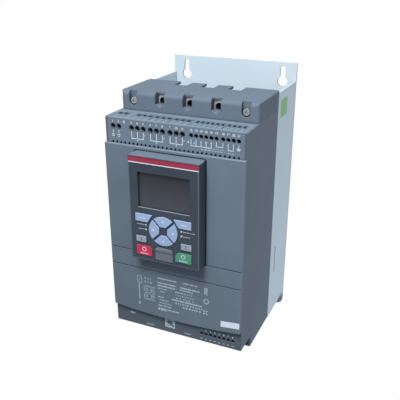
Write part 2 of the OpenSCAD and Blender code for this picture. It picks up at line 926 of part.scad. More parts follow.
module power_board() {
    z0 = module_top - module_h / 2 - power_h / 2;
    part_y = y_power - power_t;
    power_x = inner_w - power_edge;
    color(board_green) {
        block([-power_x, part_y, z0], [power_x, y_power, z0 + power_h]);
        for (x = poles) {
            block([x - driver_w / 2, part_y - driver_d, z0 + driver_rise],
                  [x + driver_w / 2, part_y, z0 + driver_rise + driver_h]);
            rod_y(x + coil_shift, z0 + coil_rise, coil_r, part_y - driver_d, part_y);
        }
    }
}

// Control board and its terminals

module control_board() {
    z0 = board_top - board_h;
    color(board_green) {
        block([-board_w / 2, y_board, z0], [board_w / 2, y_board + board_t, board_top]);
        for (k = [1:3]) {
            x = group_start[k] + relay_pitch;
            block([x - relay_w / 2, y_board - relay_d, board_top - relay_drop - relay_h],
                  [x + relay_w / 2, y_board, board_top - relay_drop]);
        }
        block([chip_x, y_board - chip_t, z0 + chip_rise],
              [chip_x + chip_w, y_board, z0 + chip_rise + chip_w]);
        block([kx - plug_w / 2 + plug_gap, y_board - plug_d, kz0 + plug_rise + plug_gap],
              [kx + plug_w / 2 - plug_gap, y_board, kz0 + plug_rise + plug_h - plug_gap]);
    }
}

// Terminal block: ways in a row, each with a screw well in front and a wire entry
module terminal_row(x0, ways, pitch, z_screw, z0, h, len, y_wire, wire_len, from_above) {
    y0 = y_panel + wall + seat_gap;
    z1 = z0 + h;
    slot_x = (pitch - slot_web) / 2;
    color("#23282c") difference() {
        block([x0 - pitch / 2 + row_gap, y0, z0], [x0 + (ways - 0.5) * pitch - row_gap, y0 + len, z1]);
        for (k = [0:ways - 1]) {
            x = x0 + k * pitch;
            rod_y(x, z_screw, well_r, y0 - EPS, y0 + well_depth);
            block([x - slot_x, y_wire, from_above ? z1 - slot_depth : z0 - EPS],
                  [x + slot_x, y_wire + wire_len, from_above ? z1 + EPS : z0 + slot_depth]);
        }
    }
}

module control_row(k) {
    z0 = z_ledge - wall - seat_gap - terminal_h;
    len = y_board - y_panel - wall - seat_gap;
    terminal_row(group_start[k], group_ways[k], group_pitch[k], terminal_z,
                 z0, terminal_h, len, y_panel + slot_back, slot_len, true);
}
module supply_terminals() {
    control_row(0);
}
module relay_terminals_1() {
    control_row(1);
}
module relay_terminals_2() {
    control_row(2);
}
module relay_terminals_3() {
    control_row(3);
}
module input_terminals() {
    control_row(4);
}
module output_terminals() {
    control_row(5);
}
module comms_terminals() {
    terminal_row(comms_x, comms_ways, comms_pitch, comms_z,
                 foot_h + wall, comms_h, comms_len, y_comms_wire, comms_slot_len, false);
}

// Slotted screw at the bottom of a terminal's well
module terminal_screw(x, z) {
    y1 = y_panel + wall + seat_gap + well_depth;
    y0 = y1 - terminal_screw_l;
    difference() {
        rod_y(x, z, terminal_screw_r, y0, y1);
        block([x - terminal_screw_r - EPS, y0 - EPS, z - screw_slot_w / 2],
              [x + terminal_screw_r + EPS, y0 + screw_slot_depth, z + screw_slot_w / 2]);
    }
}

module terminal_screws() {
    color("silver") {
        for (g = groups, k = [0:group_ways[g] - 1])
            terminal_screw(group_start[g] + k * group_pitch[g], terminal_z);
        for (k = [0:comms_ways - 1])
            terminal_screw(comms_x + k * comms_pitch, comms_z);
    }
}

// Control terminal cover: panel with driver holes and vents, and ledge with wire entries

module ledge_rib(x) {
    block([x - slot_rib / 2, y_panel + slot_rib_back, z_ledge - EPS],
          [x + slot_rib / 2, y_panel + slot_back + slot_len, z_ledge + slot_rib_h]);
}

module control_terminal_cover() {
    vent_x = -(vent_count - 1) / 2 * vent_pitch;
    color(slate) difference() {
        union() {
            plate_x(-inner_w, inner_w) difference() {
                rounded([y_panel, z_cover_top], [y_head + wall, z_ledge], box_round, [0, 0, 1, 0]);
                translate([y_panel + wall, z_cover_top - EPS]) square([housing_depth, panel_h - wall + EPS]);
            }
            for (g = groups, k = [0:group_ways[g]])
                ledge_rib(group_start[g] + (k - 0.5) * group_pitch[g]);
        }
        for (g = groups, k = [0:group_ways[g] - 1]) {
            x = group_start[g] + k * group_pitch[g];
            slot_x = (group_pitch[g] - slot_web) / 2;
            d = g < 4 ? relay_hole_d : signal_hole_d;
            rod_y(x, terminal_z, d / 2, y_panel - EPS, y_panel + wall + EPS);
            block([x - slot_x, y_panel + slot_back, z_ledge - wall - EPS],
                  [x + slot_x, y_panel + slot_back + slot_len, z_ledge + EPS]);
        }
        for (k = [0:vent_count - 1])
            translate([vent_x + k * vent_pitch - vent_w / 2, y_panel - EPS, z_cover_top - EPS])
                cube([vent_w, wall + 2 * EPS, vent_h + EPS]);
    }
}

// Front cover: shallow tray with a curved lower edge, two grooves and a pocket for the keypad

module cover_outline(inset) {
    difference() {
        translate([-half_w + inset, z_cover_low - cover_dip])
            square([body_w - 2 * inset, z_cover_top - z_cover_low + cover_dip - inset]);
        difference() {
            translate([-half_w - EPS, z_cover_low - cover_dip - EPS])
                square([body_w + 2 * EPS, cover_dip + inset + EPS]);
            translate([0, z_cover_low - cover_dip + cover_arc_r]) circle(cover_arc_r - inset, $fn = 200);
        }
    }
}

module front_cover() {
    pocket_x = keypad_w / 2 + pocket_gap;
    pocket_lo = [kx - pocket_x, kz0 - pocket_gap];
    pocket_hi = [kx + pocket_x, kz1 + pocket_gap];
    edge = [pocket_wall, pocket_wall];
    color(slate) difference() {
        union() {
            intersection() {
                difference() {
                    plate_y(y_cover, y_panel) cover_outline(0);
                    plate_y(y_cover + wall, y_panel + EPS) cover_outline(wall);
                }
                translate([0, 0, z_cover_low - cover_dip])
                    linear_extrude(z_cover_top - z_cover_low + cover_dip)
                        rounded([-half_w, y_cover], [half_w, y_panel], cover_round, [1, 1, 0, 0]);
            }
            plate_y(y_cover + wall / 2, y_pocket + pocket_wall)
                rounded(pocket_lo - edge, pocket_hi + edge, keypad_round);
            for (s = [-1, 1], z = [z_cover_low + hook_rise, z_cover_top - hook_drop])
                block([s * (inner_w - hook_t / 2) - hook_t / 2, y_cover + wall / 2, z],
                      [s * (inner_w - hook_t / 2) + hook_t / 2, y_panel + hook_len, z + hook_h]);
        }
        plate_y(y_cover - EPS, y_pocket) rounded(pocket_lo, pocket_hi, keypad_round);
        plate_y(y_pocket - EPS, y_pocket + pocket_wall + EPS)
            rounded([kx - plug_w / 2, kz0 + plug_rise],
                    [kx + plug_w / 2, kz0 + plug_rise + plug_h], plug_round);
        for (z = [foot_h + upper_groove, foot_h + lower_groove])
            block([-half_w - EPS, y_cover - EPS, z - groove_w / 2],
                  [half_w + EPS, y_cover + groove_depth, z + groove_w / 2]);
    }
}

// Keypad: rear shell, bezel, red band, display, board, keys and port flap

module keypad_outline(top) {
    rounded([kx - keypad_w / 2, kz0], [kx + keypad_w / 2, top], keypad_round);
}

module keypad_shell() {
    color(slate) intersection() {
        plate_y(y_key, y_pocket) keypad_outline(kz1);
        union() {
            block([kx - keypad_w, y_shell, kz0 - EPS], [kx + keypad_w, y_pocket, kz1 + EPS]);
            block([kx - keypad_w, y_key - EPS, kz1 - shell_top], [kx + keypad_w, y_pocket, kz1 + EPS]);
            for (s = [-1, 1], z = [kz0 + pad_post_end, (kz0 + kz1) / 2, kz1 - pad_post_end])
                rod_y(kx + s * (keypad_w / 2 - pad_post_inset), z, pad_post_r,
                      y_pad_board + pad_board_t, y_shell + EPS);
        }
    }
}

// Key outlines, drawn from the keys' middle line and grown by g

module soft_key_outline(g) {
    polygon([
        [-key_half - g, soft_z[0] - g], [-soft_low_x + g, soft_z[0] - g],
        [-soft_top_x + g, soft_z[1] + g], [-key_half - g, soft_z[1] + g]
    ]);
}

// One quarter of the direction ring; turn 0 is the upper key
module ring_key_outline(turn, g) {
    low = ring_inner - g;
    side = ring_gap - sqrt(2) * g;
    far = 2 * ring_r;
    translate([0, ring_z]) rotate(turn) intersection() {
        circle(ring_r + g);
        polygon([[side - low, low], [low - side, low], [far, far + side], [-far, far + side]]);
    }
}

module small_key_outline(g) {
    translate([-key_half - g, small_z[0] - g])
        square([key_half - small_x + 2 * g, small_z[1] - small_z[0] + 2 * g]);
}

// Stop and start keys have one clipped upper inner corner
module drive_key_outline(g) {
    clip = drive_clip + CLIP_GROW * g;
    polygon([
        [-key_half - g, drive_z[0] - g], [-drive_x + g, drive_z[0] - g],
        [-drive_x + g, drive_z[1] + g - clip], [-drive_x + g - clip, drive_z[1] + g],
        [-key_half - g, drive_z[1] + g]
    ]);
}

module flap_outline(g) {
    x = flap_w / 2 + g;
    top = flap_z[1] + g;
    clip = flap_clip + CLIP_GROW * g;
    polygon([
        [-x, flap_z[0] - g], [x, flap_z[0] - g], [x, top - clip], [x - clip, top],
        [-x + clip, top], [-x, top - clip]
    ]);
}

module all_key_outlines(g) {
    for (m = [0, 1]) mirror([m, 0]) {
        soft_key_outline(g);
        small_key_outline(g);
        drive_key_outline(g);
    }
    for (turn = [0, 90, 180, 270]) ring_key_outline(turn, g);
}

module keypad_bezel() {
    top = kz1 - shell_top;
    side_x = keypad_w / 2;
    color(dark_slate) difference() {
        intersection() {
            plate_y(y_key, y_shell) keypad_outline(kz1);
            translate([kx, 0, kz0 - EPS]) linear_extrude(top - kz0 + EPS) polygon([
                [-side_x + bezel_chamfer, y_key], [side_x - bezel_chamfer, y_key],
                [side_x, y_key + bezel_chamfer], [side_x, y_shell],
                [-side_x, y_shell], [-side_x, y_key + bezel_chamfer]
            ]);
            plate_x(kx - side_x - EPS, kx + side_x + EPS) polygon([
                [y_key, kz0 + bezel_chamfer], [y_key + bezel_chamfer, kz0], [y_shell, kz0],
                [y_shell, top], [y_key, top]
            ]);
        }
        block([kx - side_x + bezel_side, y_key + bezel_t, kz0 + bezel_side],
              [kx + side_x - bezel_side, y_shell + EPS, kz1]);
        translate([kx, 0, 0]) {
            block([-window_x, y_key - EPS, window_low], [window_x, y_key + bezel_t + EPS, window_high]);
            block([-side_x - EPS, y_key - EPS, top - band_h], [side_x + EPS, y_key + band_t, top + EPS]);
        }
        translate([x_keys, 0, 0]) {
            plate_y(y_key - EPS, y_key + bezel_t + EPS) all_key_outlines(key_gap);
            plate_y(y_key - EPS, y_key + bezel_t + EPS) flap_outline(key_gap);
            for (s = [-1, 1], z = light_z)
                rod_y(s * light_x, z, light_r + shaft_fit, y_key - EPS, y_key + bezel_t + EPS);
            rod_x(flap_pivot_y, flap_pivot_z, flap_pin_r + shaft_fit,
                  -flap_w / 2 - flap_pin_l - key_gap, flap_w / 2 + flap_pin_l + key_gap);
        }
    }
}

module keypad_band() {
    x = keypad_w / 2 - bezel_chamfer;
    color("#b03a50") translate([kx, 0, 0])
        block([-x, y_key, kz1 - shell_top - band_h], [x, y_key + band_t, kz1 - shell_top]);
}

module display_window() {
    x = window_x + window_lap;
    y0 = y_key + bezel_t;
    color("#4a4c54") translate([kx, 0, 0])
        block([-x, y0, window_low - window_lap], [x, y0 + window_t, window_high + window_lap]);
}

module display_module() {
    lap = window_lap - display_inset;
    x = window_x + lap;
    color("#30343a") translate([kx, 0, 0])
        block([-x, y_key + bezel_t + window_t, window_low - lap], [x, y_pad_board, window_high + lap]);
}

// Small dome switches and the port shell stand on the board
module keypad_board() {
    board_x = keypad_w / 2 - bezel_side - pad_board_gap;
    port_z = mid(flap_z);
    port_y = y_key + bezel_t + port_gap;
    dome_at = [for (s = [-1, 1]) each [
        [s * soft_stem_x, mid(soft_z)], [s * small_stem_x, mid(small_z)], [s * drive_stem_x, mid(drive_z)],
        [s * ring_mid, ring_z], [0, ring_z + s * ring_mid]
    ]];
    color(board_green) {
        block([kx - board_x, y_pad_board, kz0 + pad_board_edge],
              [kx + board_x, y_pad_board + pad_board_t, kz1 - pad_board_edge]);
        translate([x_keys, 0, 0]) {
            for (p = dome_at) rod_y(p.x, p.y, dome_r, y_pad_board - dome_h, y_pad_board);
            difference() {
                block([-port_w / 2 - port_wall, port_y, port_z - port_h / 2 - port_wall],
                      [port_w / 2 + port_wall, y_pad_board, port_z + port_h / 2 + port_wall]);
                block([-port_w / 2, port_y - EPS, port_z - port_h / 2],
                      [port_w / 2, y_pad_board - port_wall, port_z + port_h / 2]);
            }
        }
    }
}

// A key has a cap through the bezel, a flange that holds it in and a stem behind it
module key(colour, stem_at) {
    y_flange = y_key + bezel_t + flange_gap;
    color(colour) translate([x_keys, 0, 0]) {
        plate_y(y_key - key_proud, y_flange) children(0);
        plate_y(y_flange, y_flange + flange_t) children(1);
        rod_y(stem_at.x, stem_at.y, stem_r, y_flange + flange_t, y_key + key_stem);
    }
}

module soft_key(side) {
    mirror_x = side > 0 ? 1 : 0;
    key(key_blue, [side * soft_stem_x, mid(soft_z)]) {
        mirror([mirror_x, 0]) soft_key_outline(0);
        mirror([mirror_x, 0]) soft_key_outline(flange);
    }
}
module small_key(side) {
    mirror_x = side > 0 ? 1 : 0;
    key(key_grey, [side * small_stem_x, mid(small_z)]) {
        mirror([mirror_x, 0]) small_key_outline(0);
        mirror([mirror_x, 0]) small_key_outline(flange);
    }
}
module drive_key(side, colour) {
    mirror_x = side > 0 ? 1 : 0;
    key(colour, [side * drive_stem_x, mid(drive_z)]) {
        mirror([mirror_x, 0]) drive_key_outline(0);
        mirror([mirror_x, 0]) drive_key_outline(flange);
    }
}
module ring_key(turn) {
    key(key_blue, [-ring_mid * sin(turn), ring_z + ring_mid * cos(turn)]) {
        ring_key_outline(turn, 0);
        ring_key_outline(turn, flange);
    }
}

module left_soft_key() {
    soft_key(-1);
}
module right_soft_key() {
    soft_key(1);
}
module up_key() {
    ring_key(0);
}
module left_key() {
    ring_key(90);
}
module down_key() {
    ring_key(180);
}
module right_key() {
    ring_key(270);
}
module local_key() {
    small_key(-1);
}
module help_key() {
    small_key(1);
}
module stop_key() {
    drive_key(-1, "#c8324a");
}
module start_key() {
    drive_key(1, "#4f9a66");
}

// Flap over the port: it swings down on two pins in the bezel
module port_flap() {
    pivot = [flap_pivot_y, flap_pivot_z];
    color("#70767b") translate([x_keys, 0, 0]) {
        intersection() {
            plate_y(y_key - grip_proud, y_key + bezel_t) flap_outline(0);
            plate_x(-flap_w / 2, flap_w / 2) {
                translate(pivot) circle(bezel_t / 2);
                translate([y_key, flap_pivot_z]) square([flap_t, flap_z[1] - flap_pivot_z]);
                translate([y_key - grip_proud, flap_z[1] - grip_drop - grip_h])
                    square([grip_proud + flap_t / 2, grip_h]);
            }
        }
        rod_x(flap_pivot_y, flap_pivot_z, flap_pin_r, -flap_w / 2 - flap_pin_l, flap_w / 2 + flap_pin_l);
    }
}

module status_lights() {
    color("#dfe6ea") translate([x_keys, 0, 0]) for (s = [-1, 1], z = light_z)
        rod_y(s * light_x, z, light_r, y_key, y_pad_board);
}

rear_chassis();
heat_sink();
left_fan_frame();
right_fan_frame();
left_fan_rotor();
right_fan_rotor();
main_housing();
inner_frame();
line_terminal_cover();
load_terminal_cover();
control_terminal_cover();
front_cover();
cover_screws();
line_terminal_1();
line_terminal_2();
line_terminal_3();
load_terminal_1();
load_terminal_2();
load_terminal_3();
clamp_screws();
thyristor_module_1();
thyristor_module_2();
thyristor_module_3();
line_busbar_1();
line_busbar_2();
line_busbar_3();
load_busbar_1();
load_busbar_2();
load_busbar_3();
bypass_contactor();
current_transformer();
power_board();
control_board();
supply_terminals();
relay_terminals_1();
relay_terminals_2();
relay_terminals_3();
input_terminals();
output_terminals();
comms_terminals();
terminal_screws();
keypad_shell();
keypad_bezel();
keypad_band();
display_window();
display_module();
keypad_board();
left_soft_key();
right_soft_key();
up_key();
down_key();
left_key();
right_key();
local_key();
help_key();
stop_key();
start_key();
port_flap();
status_lights();
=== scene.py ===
"""Looks of a wall-mounted soft starter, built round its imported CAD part.

Lengths are in millimetres unless Blender takes them in metres. The front faces -Y, and up is +Z.
"""

import json
import math
import random

import bpy
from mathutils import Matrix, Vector


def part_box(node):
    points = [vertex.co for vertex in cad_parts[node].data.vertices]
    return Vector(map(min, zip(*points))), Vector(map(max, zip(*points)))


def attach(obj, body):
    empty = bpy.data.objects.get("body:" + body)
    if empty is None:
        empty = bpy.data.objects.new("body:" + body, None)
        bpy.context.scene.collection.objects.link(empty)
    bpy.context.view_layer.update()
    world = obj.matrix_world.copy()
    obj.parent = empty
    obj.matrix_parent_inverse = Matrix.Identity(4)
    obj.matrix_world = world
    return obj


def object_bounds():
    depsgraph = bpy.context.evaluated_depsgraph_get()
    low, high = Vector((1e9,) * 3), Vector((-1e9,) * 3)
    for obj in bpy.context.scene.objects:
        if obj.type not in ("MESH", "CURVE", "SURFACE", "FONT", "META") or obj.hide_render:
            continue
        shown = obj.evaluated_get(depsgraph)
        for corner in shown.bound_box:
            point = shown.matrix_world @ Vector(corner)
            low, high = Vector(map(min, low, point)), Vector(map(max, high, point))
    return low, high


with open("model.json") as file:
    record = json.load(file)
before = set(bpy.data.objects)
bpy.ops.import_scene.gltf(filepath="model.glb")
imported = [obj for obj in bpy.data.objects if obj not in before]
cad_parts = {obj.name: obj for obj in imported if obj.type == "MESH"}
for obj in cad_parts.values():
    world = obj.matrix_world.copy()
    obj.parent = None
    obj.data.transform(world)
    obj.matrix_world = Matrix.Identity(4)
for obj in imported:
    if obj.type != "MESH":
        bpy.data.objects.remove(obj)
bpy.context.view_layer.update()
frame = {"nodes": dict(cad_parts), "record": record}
nodes = frame["nodes"]
scene = bpy.context.scene
random.seed(7)
MM = 0.001
BODY = "starter"


def box(node):
    """Low and high corner of a CAD node in millimetres."""
    low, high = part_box(node)
    return low / MM, high / MM


# Planes and corners of the CAD part that the prints and shades keep to

Y_PANEL = box("control_terminal_cover")[0].y
Y_COVER = box("front_cover")[0].y
base_low, ledge_high = box("main_housing")
chassis_high = box("rear_chassis")[1]
pad_low, pad_high = box("keypad_bezel")
band_low, band_high = box("keypad_band")
glass_low, glass_high = box("display_window")
light_low, light_high = box("status_lights")


# Materials

RAY_SAMPLES = 6  # of the nodes that find edges and creases
PATCH_DETAIL = 4.0
PATCH_LEVELS = (0.3, 0.7)  # noise at the darkest and at the palest patches
GRAIN_DETAIL = 2.0
GRAIN_DEPTH = 0.2
ROUGH_SWING = 0.06
SMOOTHEST = 0.05
EDGE_TURN = (0.98, 0.75)  # cosine between true and softened normal, on a face and at a sharp edge
CREASE_REACH = 4.0
CREASE_LIGHT = (0.15, 0.75)  # open share of the surroundings, deep in a crease and on a free face
SPECULAR_LEVEL = 0.2
SQUARE_ON = (0.5, 0.95)  # the normal's part along an axis, on a slope and on a face square to it
FRONT_ON = (-0.9, -0.4)  # the same along Y, on a front face and on a slope
BAND_SHADOW = (1.4, 0.6)  # below the top of the red band, start and full depth of its dark edge


def linear(rgb):
    """An 8-bit display colour as linear light."""
    out = []
    for c in rgb:
        c = c / 255
        out.append(c / 12.92 if c <= 0.04045 else ((c + 0.055) / 1.055) ** 2.4)
    return out


def noise(tree, where, scale, detail):
    """Noise texture over a place."""
    node = tree.nodes.new("ShaderNodeTexNoise")
    node.inputs["Scale"].default_value = scale
    node.inputs["Detail"].default_value = detail
    tree.links.new(where, node.inputs["Vector"])
    return node.outputs["Fac"]


def mapped(tree, value, source, target):
    """A value moved from one range to another, and held at its ends."""
    node = tree.nodes.new("ShaderNodeMapRange")
    node.inputs["From Min"].default_value, node.inputs["From Max"].default_value = source
    node.inputs["To Min"].default_value, node.inputs["To Max"].default_value = target
    tree.links.new(value, node.inputs["Value"])
    return node.outputs["Result"]


def scaled(tree, colour, factor):
    """A colour times a factor."""
    node = tree.nodes.new("ShaderNodeVectorMath")
    node.operation = "SCALE"
    tree.links.new(colour, node.inputs["Vector"])
    tree.links.new(factor, node.inputs["Scale"])
    return node.outputs["Vector"]


def facing(axis, values, factors):
    """A painted shade by direction: two values of the normal's part along an axis, and a colour factor at
    each.
    """
    return "normal", axis, values, factors


def along(axis, places, factors):
    """A painted shade by place: two places along an axis, and a colour factor at each."""
    return "object", axis, [place * MM for place in places], factors


def material(name, rgb, rough=0.5, metal=0.0, spread=0.05, patch=22.0, grain=1400.0, bump=0.12, edge=0.35,
             edge_highlight=0.0, crease_shade=0.0, coat=0.0, painted_shades=()):
    """Principled surface with faint colour patches, fine grain, softened edges and any painted shades.

    Edges get paler by their share, a painted highlight, and creases and hollows get darker by theirs, a
    painted shade.
    """
    surface = bpy.data.materials.new(name)
    surface.use_nodes = True
    tree = surface.node_tree
    tree.nodes.clear()
    add = tree.nodes.new
    link = tree.links.new
    where = add("ShaderNodeTexCoord").outputs["Object"]
    normal = add("ShaderNodeNewGeometry").outputs["Normal"]
    soft = add("ShaderNodeBevel")
    soft.samples = RAY_SAMPLES
    soft.inputs["Radius"].default_value = edge * MM

    ramp = add("ShaderNodeValToRGB")
    for stop, level, change in zip(ramp.color_ramp.elements, PATCH_LEVELS, (-spread, spread)):
        stop.position = level
        stop.color = [min(1, c * (1 + change)) for c in linear(rgb)] + [1]
    link(noise(tree, where, patch, PATCH_DETAIL), ramp.inputs["Fac"])
    colour = ramp.outputs["Color"]
    # Painted highlight: edges paler, by how far the softened normal turns from the true one
    if edge_highlight:
        turn = add("ShaderNodeVectorMath")
        turn.operation = "DOT_PRODUCT"
        link(soft.outputs["Normal"], turn.inputs[0])
        link(normal, turn.inputs[1])
        colour = scaled(tree, colour, mapped(tree, turn.outputs["Value"], EDGE_TURN, (1.0, 1.0 + edge_highlight)))
    # Painted shade: creases and hollows darker, by how little of the surroundings is open
    if crease_shade:
        nook = add("ShaderNodeAmbientOcclusion")
        nook.samples = RAY_SAMPLES
        nook.inputs["Distance"].default_value = CREASE_REACH * MM
        colour = scaled(tree, colour, mapped(tree, nook.outputs["AO"], CREASE_LIGHT, (1.0 - crease_shade, 1.0)))
    # Painted light and shade, by facing and by place
    for source, axis, values, factors in painted_shades:
        split = add("ShaderNodeSeparateXYZ")
        link(normal if source == "normal" else where, split.inputs["Vector"])
        colour = scaled(tree, colour, mapped(tree, split.outputs[axis], values, factors))

    fine = noise(tree, where, grain, GRAIN_DETAIL)
    rough_range = (max(SMOOTHEST, rough - ROUGH_SWING), min(1.0, rough + ROUGH_SWING))
    dents = add("ShaderNodeBump")
    dents.inputs["Strength"].default_value = bump
    dents.inputs["Distance"].default_value = GRAIN_DEPTH * MM
    link(fine, dents.inputs["Height"])
    link(soft.outputs["Normal"], dents.inputs["Normal"])

    shader = add("ShaderNodeBsdfPrincipled")
    shader.inputs["Metallic"].default_value = metal
    shader.inputs["Specular IOR Level"].default_value = SPECULAR_LEVEL
    shader.inputs["Coat Weight"].default_value = coat
    link(colour, shader.inputs["Base Color"])
    link(mapped(tree, fine, (0.0, 1.0), rough_range), shader.inputs["Roughness"])
    link(dents.outputs["Normal"], shader.inputs["Normal"])
    link(shader.outputs["BSDF"], add("ShaderNodeOutputMaterial").inputs["Surface"])
    return surface


def ink(name, rgb, rough=0.5, spread=0.05, patch=90.0):
    """Material of a print: hardly any edge or grain."""
    return material(name, rgb, rough=rough, spread=spread, patch=patch, edge=0.02, bump=0.02)


# The edge-highlight shares below paint paler edges, and the crease shares paint shade into creases and
# hollows
SLATE = material("slate", (98, 111, 125), rough=0.7, crease_shade=0.7, edge=0.5, edge_highlight=0.3)
# Painted shadow on the front faces, the base strip under the cover, and painted shade on the right-facing
# sides
HOUSING = material("housing", (98, 110, 123), rough=0.7, crease_shade=0.7, edge=0.5, edge_highlight=0.2,
                   painted_shades=[facing("Y", FRONT_ON, (0.7, 1.0)), facing("X", SQUARE_ON, (1.0, 0.93))])
# Painted shade on the right-facing sides and on the upward faces
BLOCK = material("block", (98, 112, 126), rough=0.7, crease_shade=0.7, edge=1.0, edge_highlight=0.25,
                 painted_shades=[facing("X", SQUARE_ON, (1.0, 0.74)), facing("Z", SQUARE_ON, (1.0, 0.86))])
# Painted shadow on the front face, which stands under the front box
FOOT = material("foot", (96, 109, 123), rough=0.7, crease_shade=0.7, edge=0.5,
                painted_shades=[facing("Y", (-0.95, -0.1), (0.2, 1.0))])
# Painted highlight on the upward lips, and painted light: paler to the right, darker towards the bottom
COVER = material("cover", (103, 117, 131), rough=0.7, crease_shade=0.7, edge=0.5, edge_highlight=0.3,
                 painted_shades=[facing("Z", (0.3, 0.9), (1.0, 1.35)), along("X", (-65, 50), (0.965, 1.03)),
                         along("Z", (50, 150), (0.94, 1.0))])
# Painted light: upward faces of the ledge paler
PANEL = material("panel", (104, 119, 133), rough=0.7, crease_shade=0.9, edge=0.4, edge_highlight=0.3,
                 painted_shades=[facing("Z", SQUARE_ON, (1.0, 1.12))])
# Painted light: front faces paler than the sides, and paler towards the foot
BEZEL = material("bezel", (48, 56, 65), rough=0.6, crease_shade=0.7, edge=0.6, edge_highlight=0.9,
                 painted_shades=[facing("Y", (-0.95, -0.75), (1.3, 1.0)),
                         along("Z", (pad_low.z, pad_high.z), (1.2, 0.95))])
# Painted shade on the right-facing sides, painted shadow on the flange below the floor, painted light paler
# towards the bottom, and painted shade on the upward faces
SHEET = material("sheet", (200, 216, 226), rough=0.6, spread=0.02, bump=0.04, crease_shade=0.7, edge=0.4,
                 painted_shades=[facing("X", SQUARE_ON, (1.0, 0.9)), along("Z", (-12, 0), (0.65, 1.0)),
                         along("Z", (60, 290), (1.1, 0.95)), facing("Z", SQUARE_ON, (1.0, 0.82))])
ALUMINIUM = material("aluminium", (190, 192, 194), rough=0.42, metal=0.9, spread=0.04, patch=60)
# Painted shade on the sides and bores, so that only the front faces stay bright
LUG = material("lug", (184, 184, 182), rough=0.45, metal=0.45, patch=80,
               painted_shades=[facing("Y", FRONT_ON, (1.0, 0.2))])
ZINC = material("zinc", (168, 174, 180), rough=0.35, metal=0.6, patch=200, edge=0.15)
DARK_STEEL = material("dark_steel", (46, 48, 52), rough=0.4, metal=0.7, edge=0.15)
BLACK = material("black", (24, 26, 30), edge=0.2)
BOARD = material("board", (48, 104, 70), rough=0.45, spread=0.12, patch=120)
BAND = material("band", (150, 52, 74), rough=0.4, spread=0.03, edge=0.1,
                painted_shades=[along("Z", [band_high.z - drop for drop in BAND_SHADOW], (1.0, 0.5))])
# Painted reflection: the display paler at its foot and darker towards its top
GLASS = material("display", (68, 72, 82), rough=0.2, spread=0.08, patch=14, bump=0.0, edge=0.2, coat=0.1,
                 painted_shades=[along("Z", (glass_low.z, glass_high.z), (1.0, 0.25))])
KEY_BLUE = material("key_blue", (152, 174, 208), rough=0.45, spread=0.03, edge=0.6, edge_highlight=0.25)
KEY_GREY = material("key_grey", (150, 161, 174), spread=0.03, edge=0.5, edge_highlight=0.2)
RED = material("stop_red", (190, 60, 84), spread=0.04, edge=0.6, edge_highlight=0.4)
GREEN = material("start_green", (82, 144, 118), spread=0.04, edge=0.6, edge_highlight=0.4)
FLAP = material("flap", (102, 111, 122), edge=0.6, edge_highlight=0.35)
CLEAR = material("light_clear", (206, 214, 218), rough=0.25, edge=0.1, coat=0.5)
CREAM = material("module", (214, 210, 198), rough=0.55)
COPPER = material("copper", (190, 118, 78), rough=0.35, metal=0.9)
INK = ink("ink_white", (214, 224, 234), rough=0.6, spread=0.03, patch=22)
GREY_INK = ink("ink_grey", (170, 181, 192), rough=0.6)
FAINT_INK = ink("ink_faint", (148, 160, 173), rough=0.6)
# Grey painted on edges: a painted highlight on the dark bezel and painted shade on the pale sheet
PAINTED_EDGE_INK = ink("ink_painted_edge", (104, 114, 125))
LABEL = ink("label_white", (218, 228, 238), spread=0.02, patch=22)
PINK_INK = ink("ink_pink", (238, 178, 195), spread=0.03, patch=22)
MINT_INK = ink("ink_mint", (165, 208, 198), spread=0.03, patch=22)
STICKER = ink("sticker_green", (118, 170, 110), rough=0.45, patch=60)

by_slot = {
    "pale_sheet": SHEET, "aluminium": ALUMINIUM, "zinc": ZINC, "dark_steel": DARK_STEEL, "copper": COPPER,
    "slate_plastic": SLATE, "panel_plastic": PANEL, "black_plastic": BLACK, "module_plastic": CREAM,
    "board": BOARD, "bezel_plastic": BEZEL, "band_red": BAND, "display": GLASS, "light_clear": CLEAR,
    "key_grey": KEY_GREY, "key_blue": KEY_BLUE, "stop_red": RED, "start_green": GREEN, "flap_grey": FLAP,
}
by_node = {
    "main_housing": HOUSING, "front_cover": COVER, "line_terminal_cover": BLOCK, "load_terminal_cover": FOOT,
}
for phase in (1, 2, 3):
    by_node["line_terminal_%d" % phase] = LUG
    by_node["load_terminal_%d" % phase] = LUG
slot_of = {s["node"]: s["material_slot"] for s in frame["record"]["subparts"]}
for name, node in nodes.items():
    node.data.materials.clear()
    node.data.materials.append(by_node.get(name, by_slot[slot_of[name]]))


# Prints: thin plates laid on a surface

PRINT_THICK = 0.06
PRINT_LIFT = 0.02  # between a surface and the print on it
SHORTEST_BAR = 0.6
WAY_GAP = 0.4  # by which a terminal row is narrower than all its pitches
FIGURE_BOLD = 0.03  # share of a figure's size that its strokes swell by


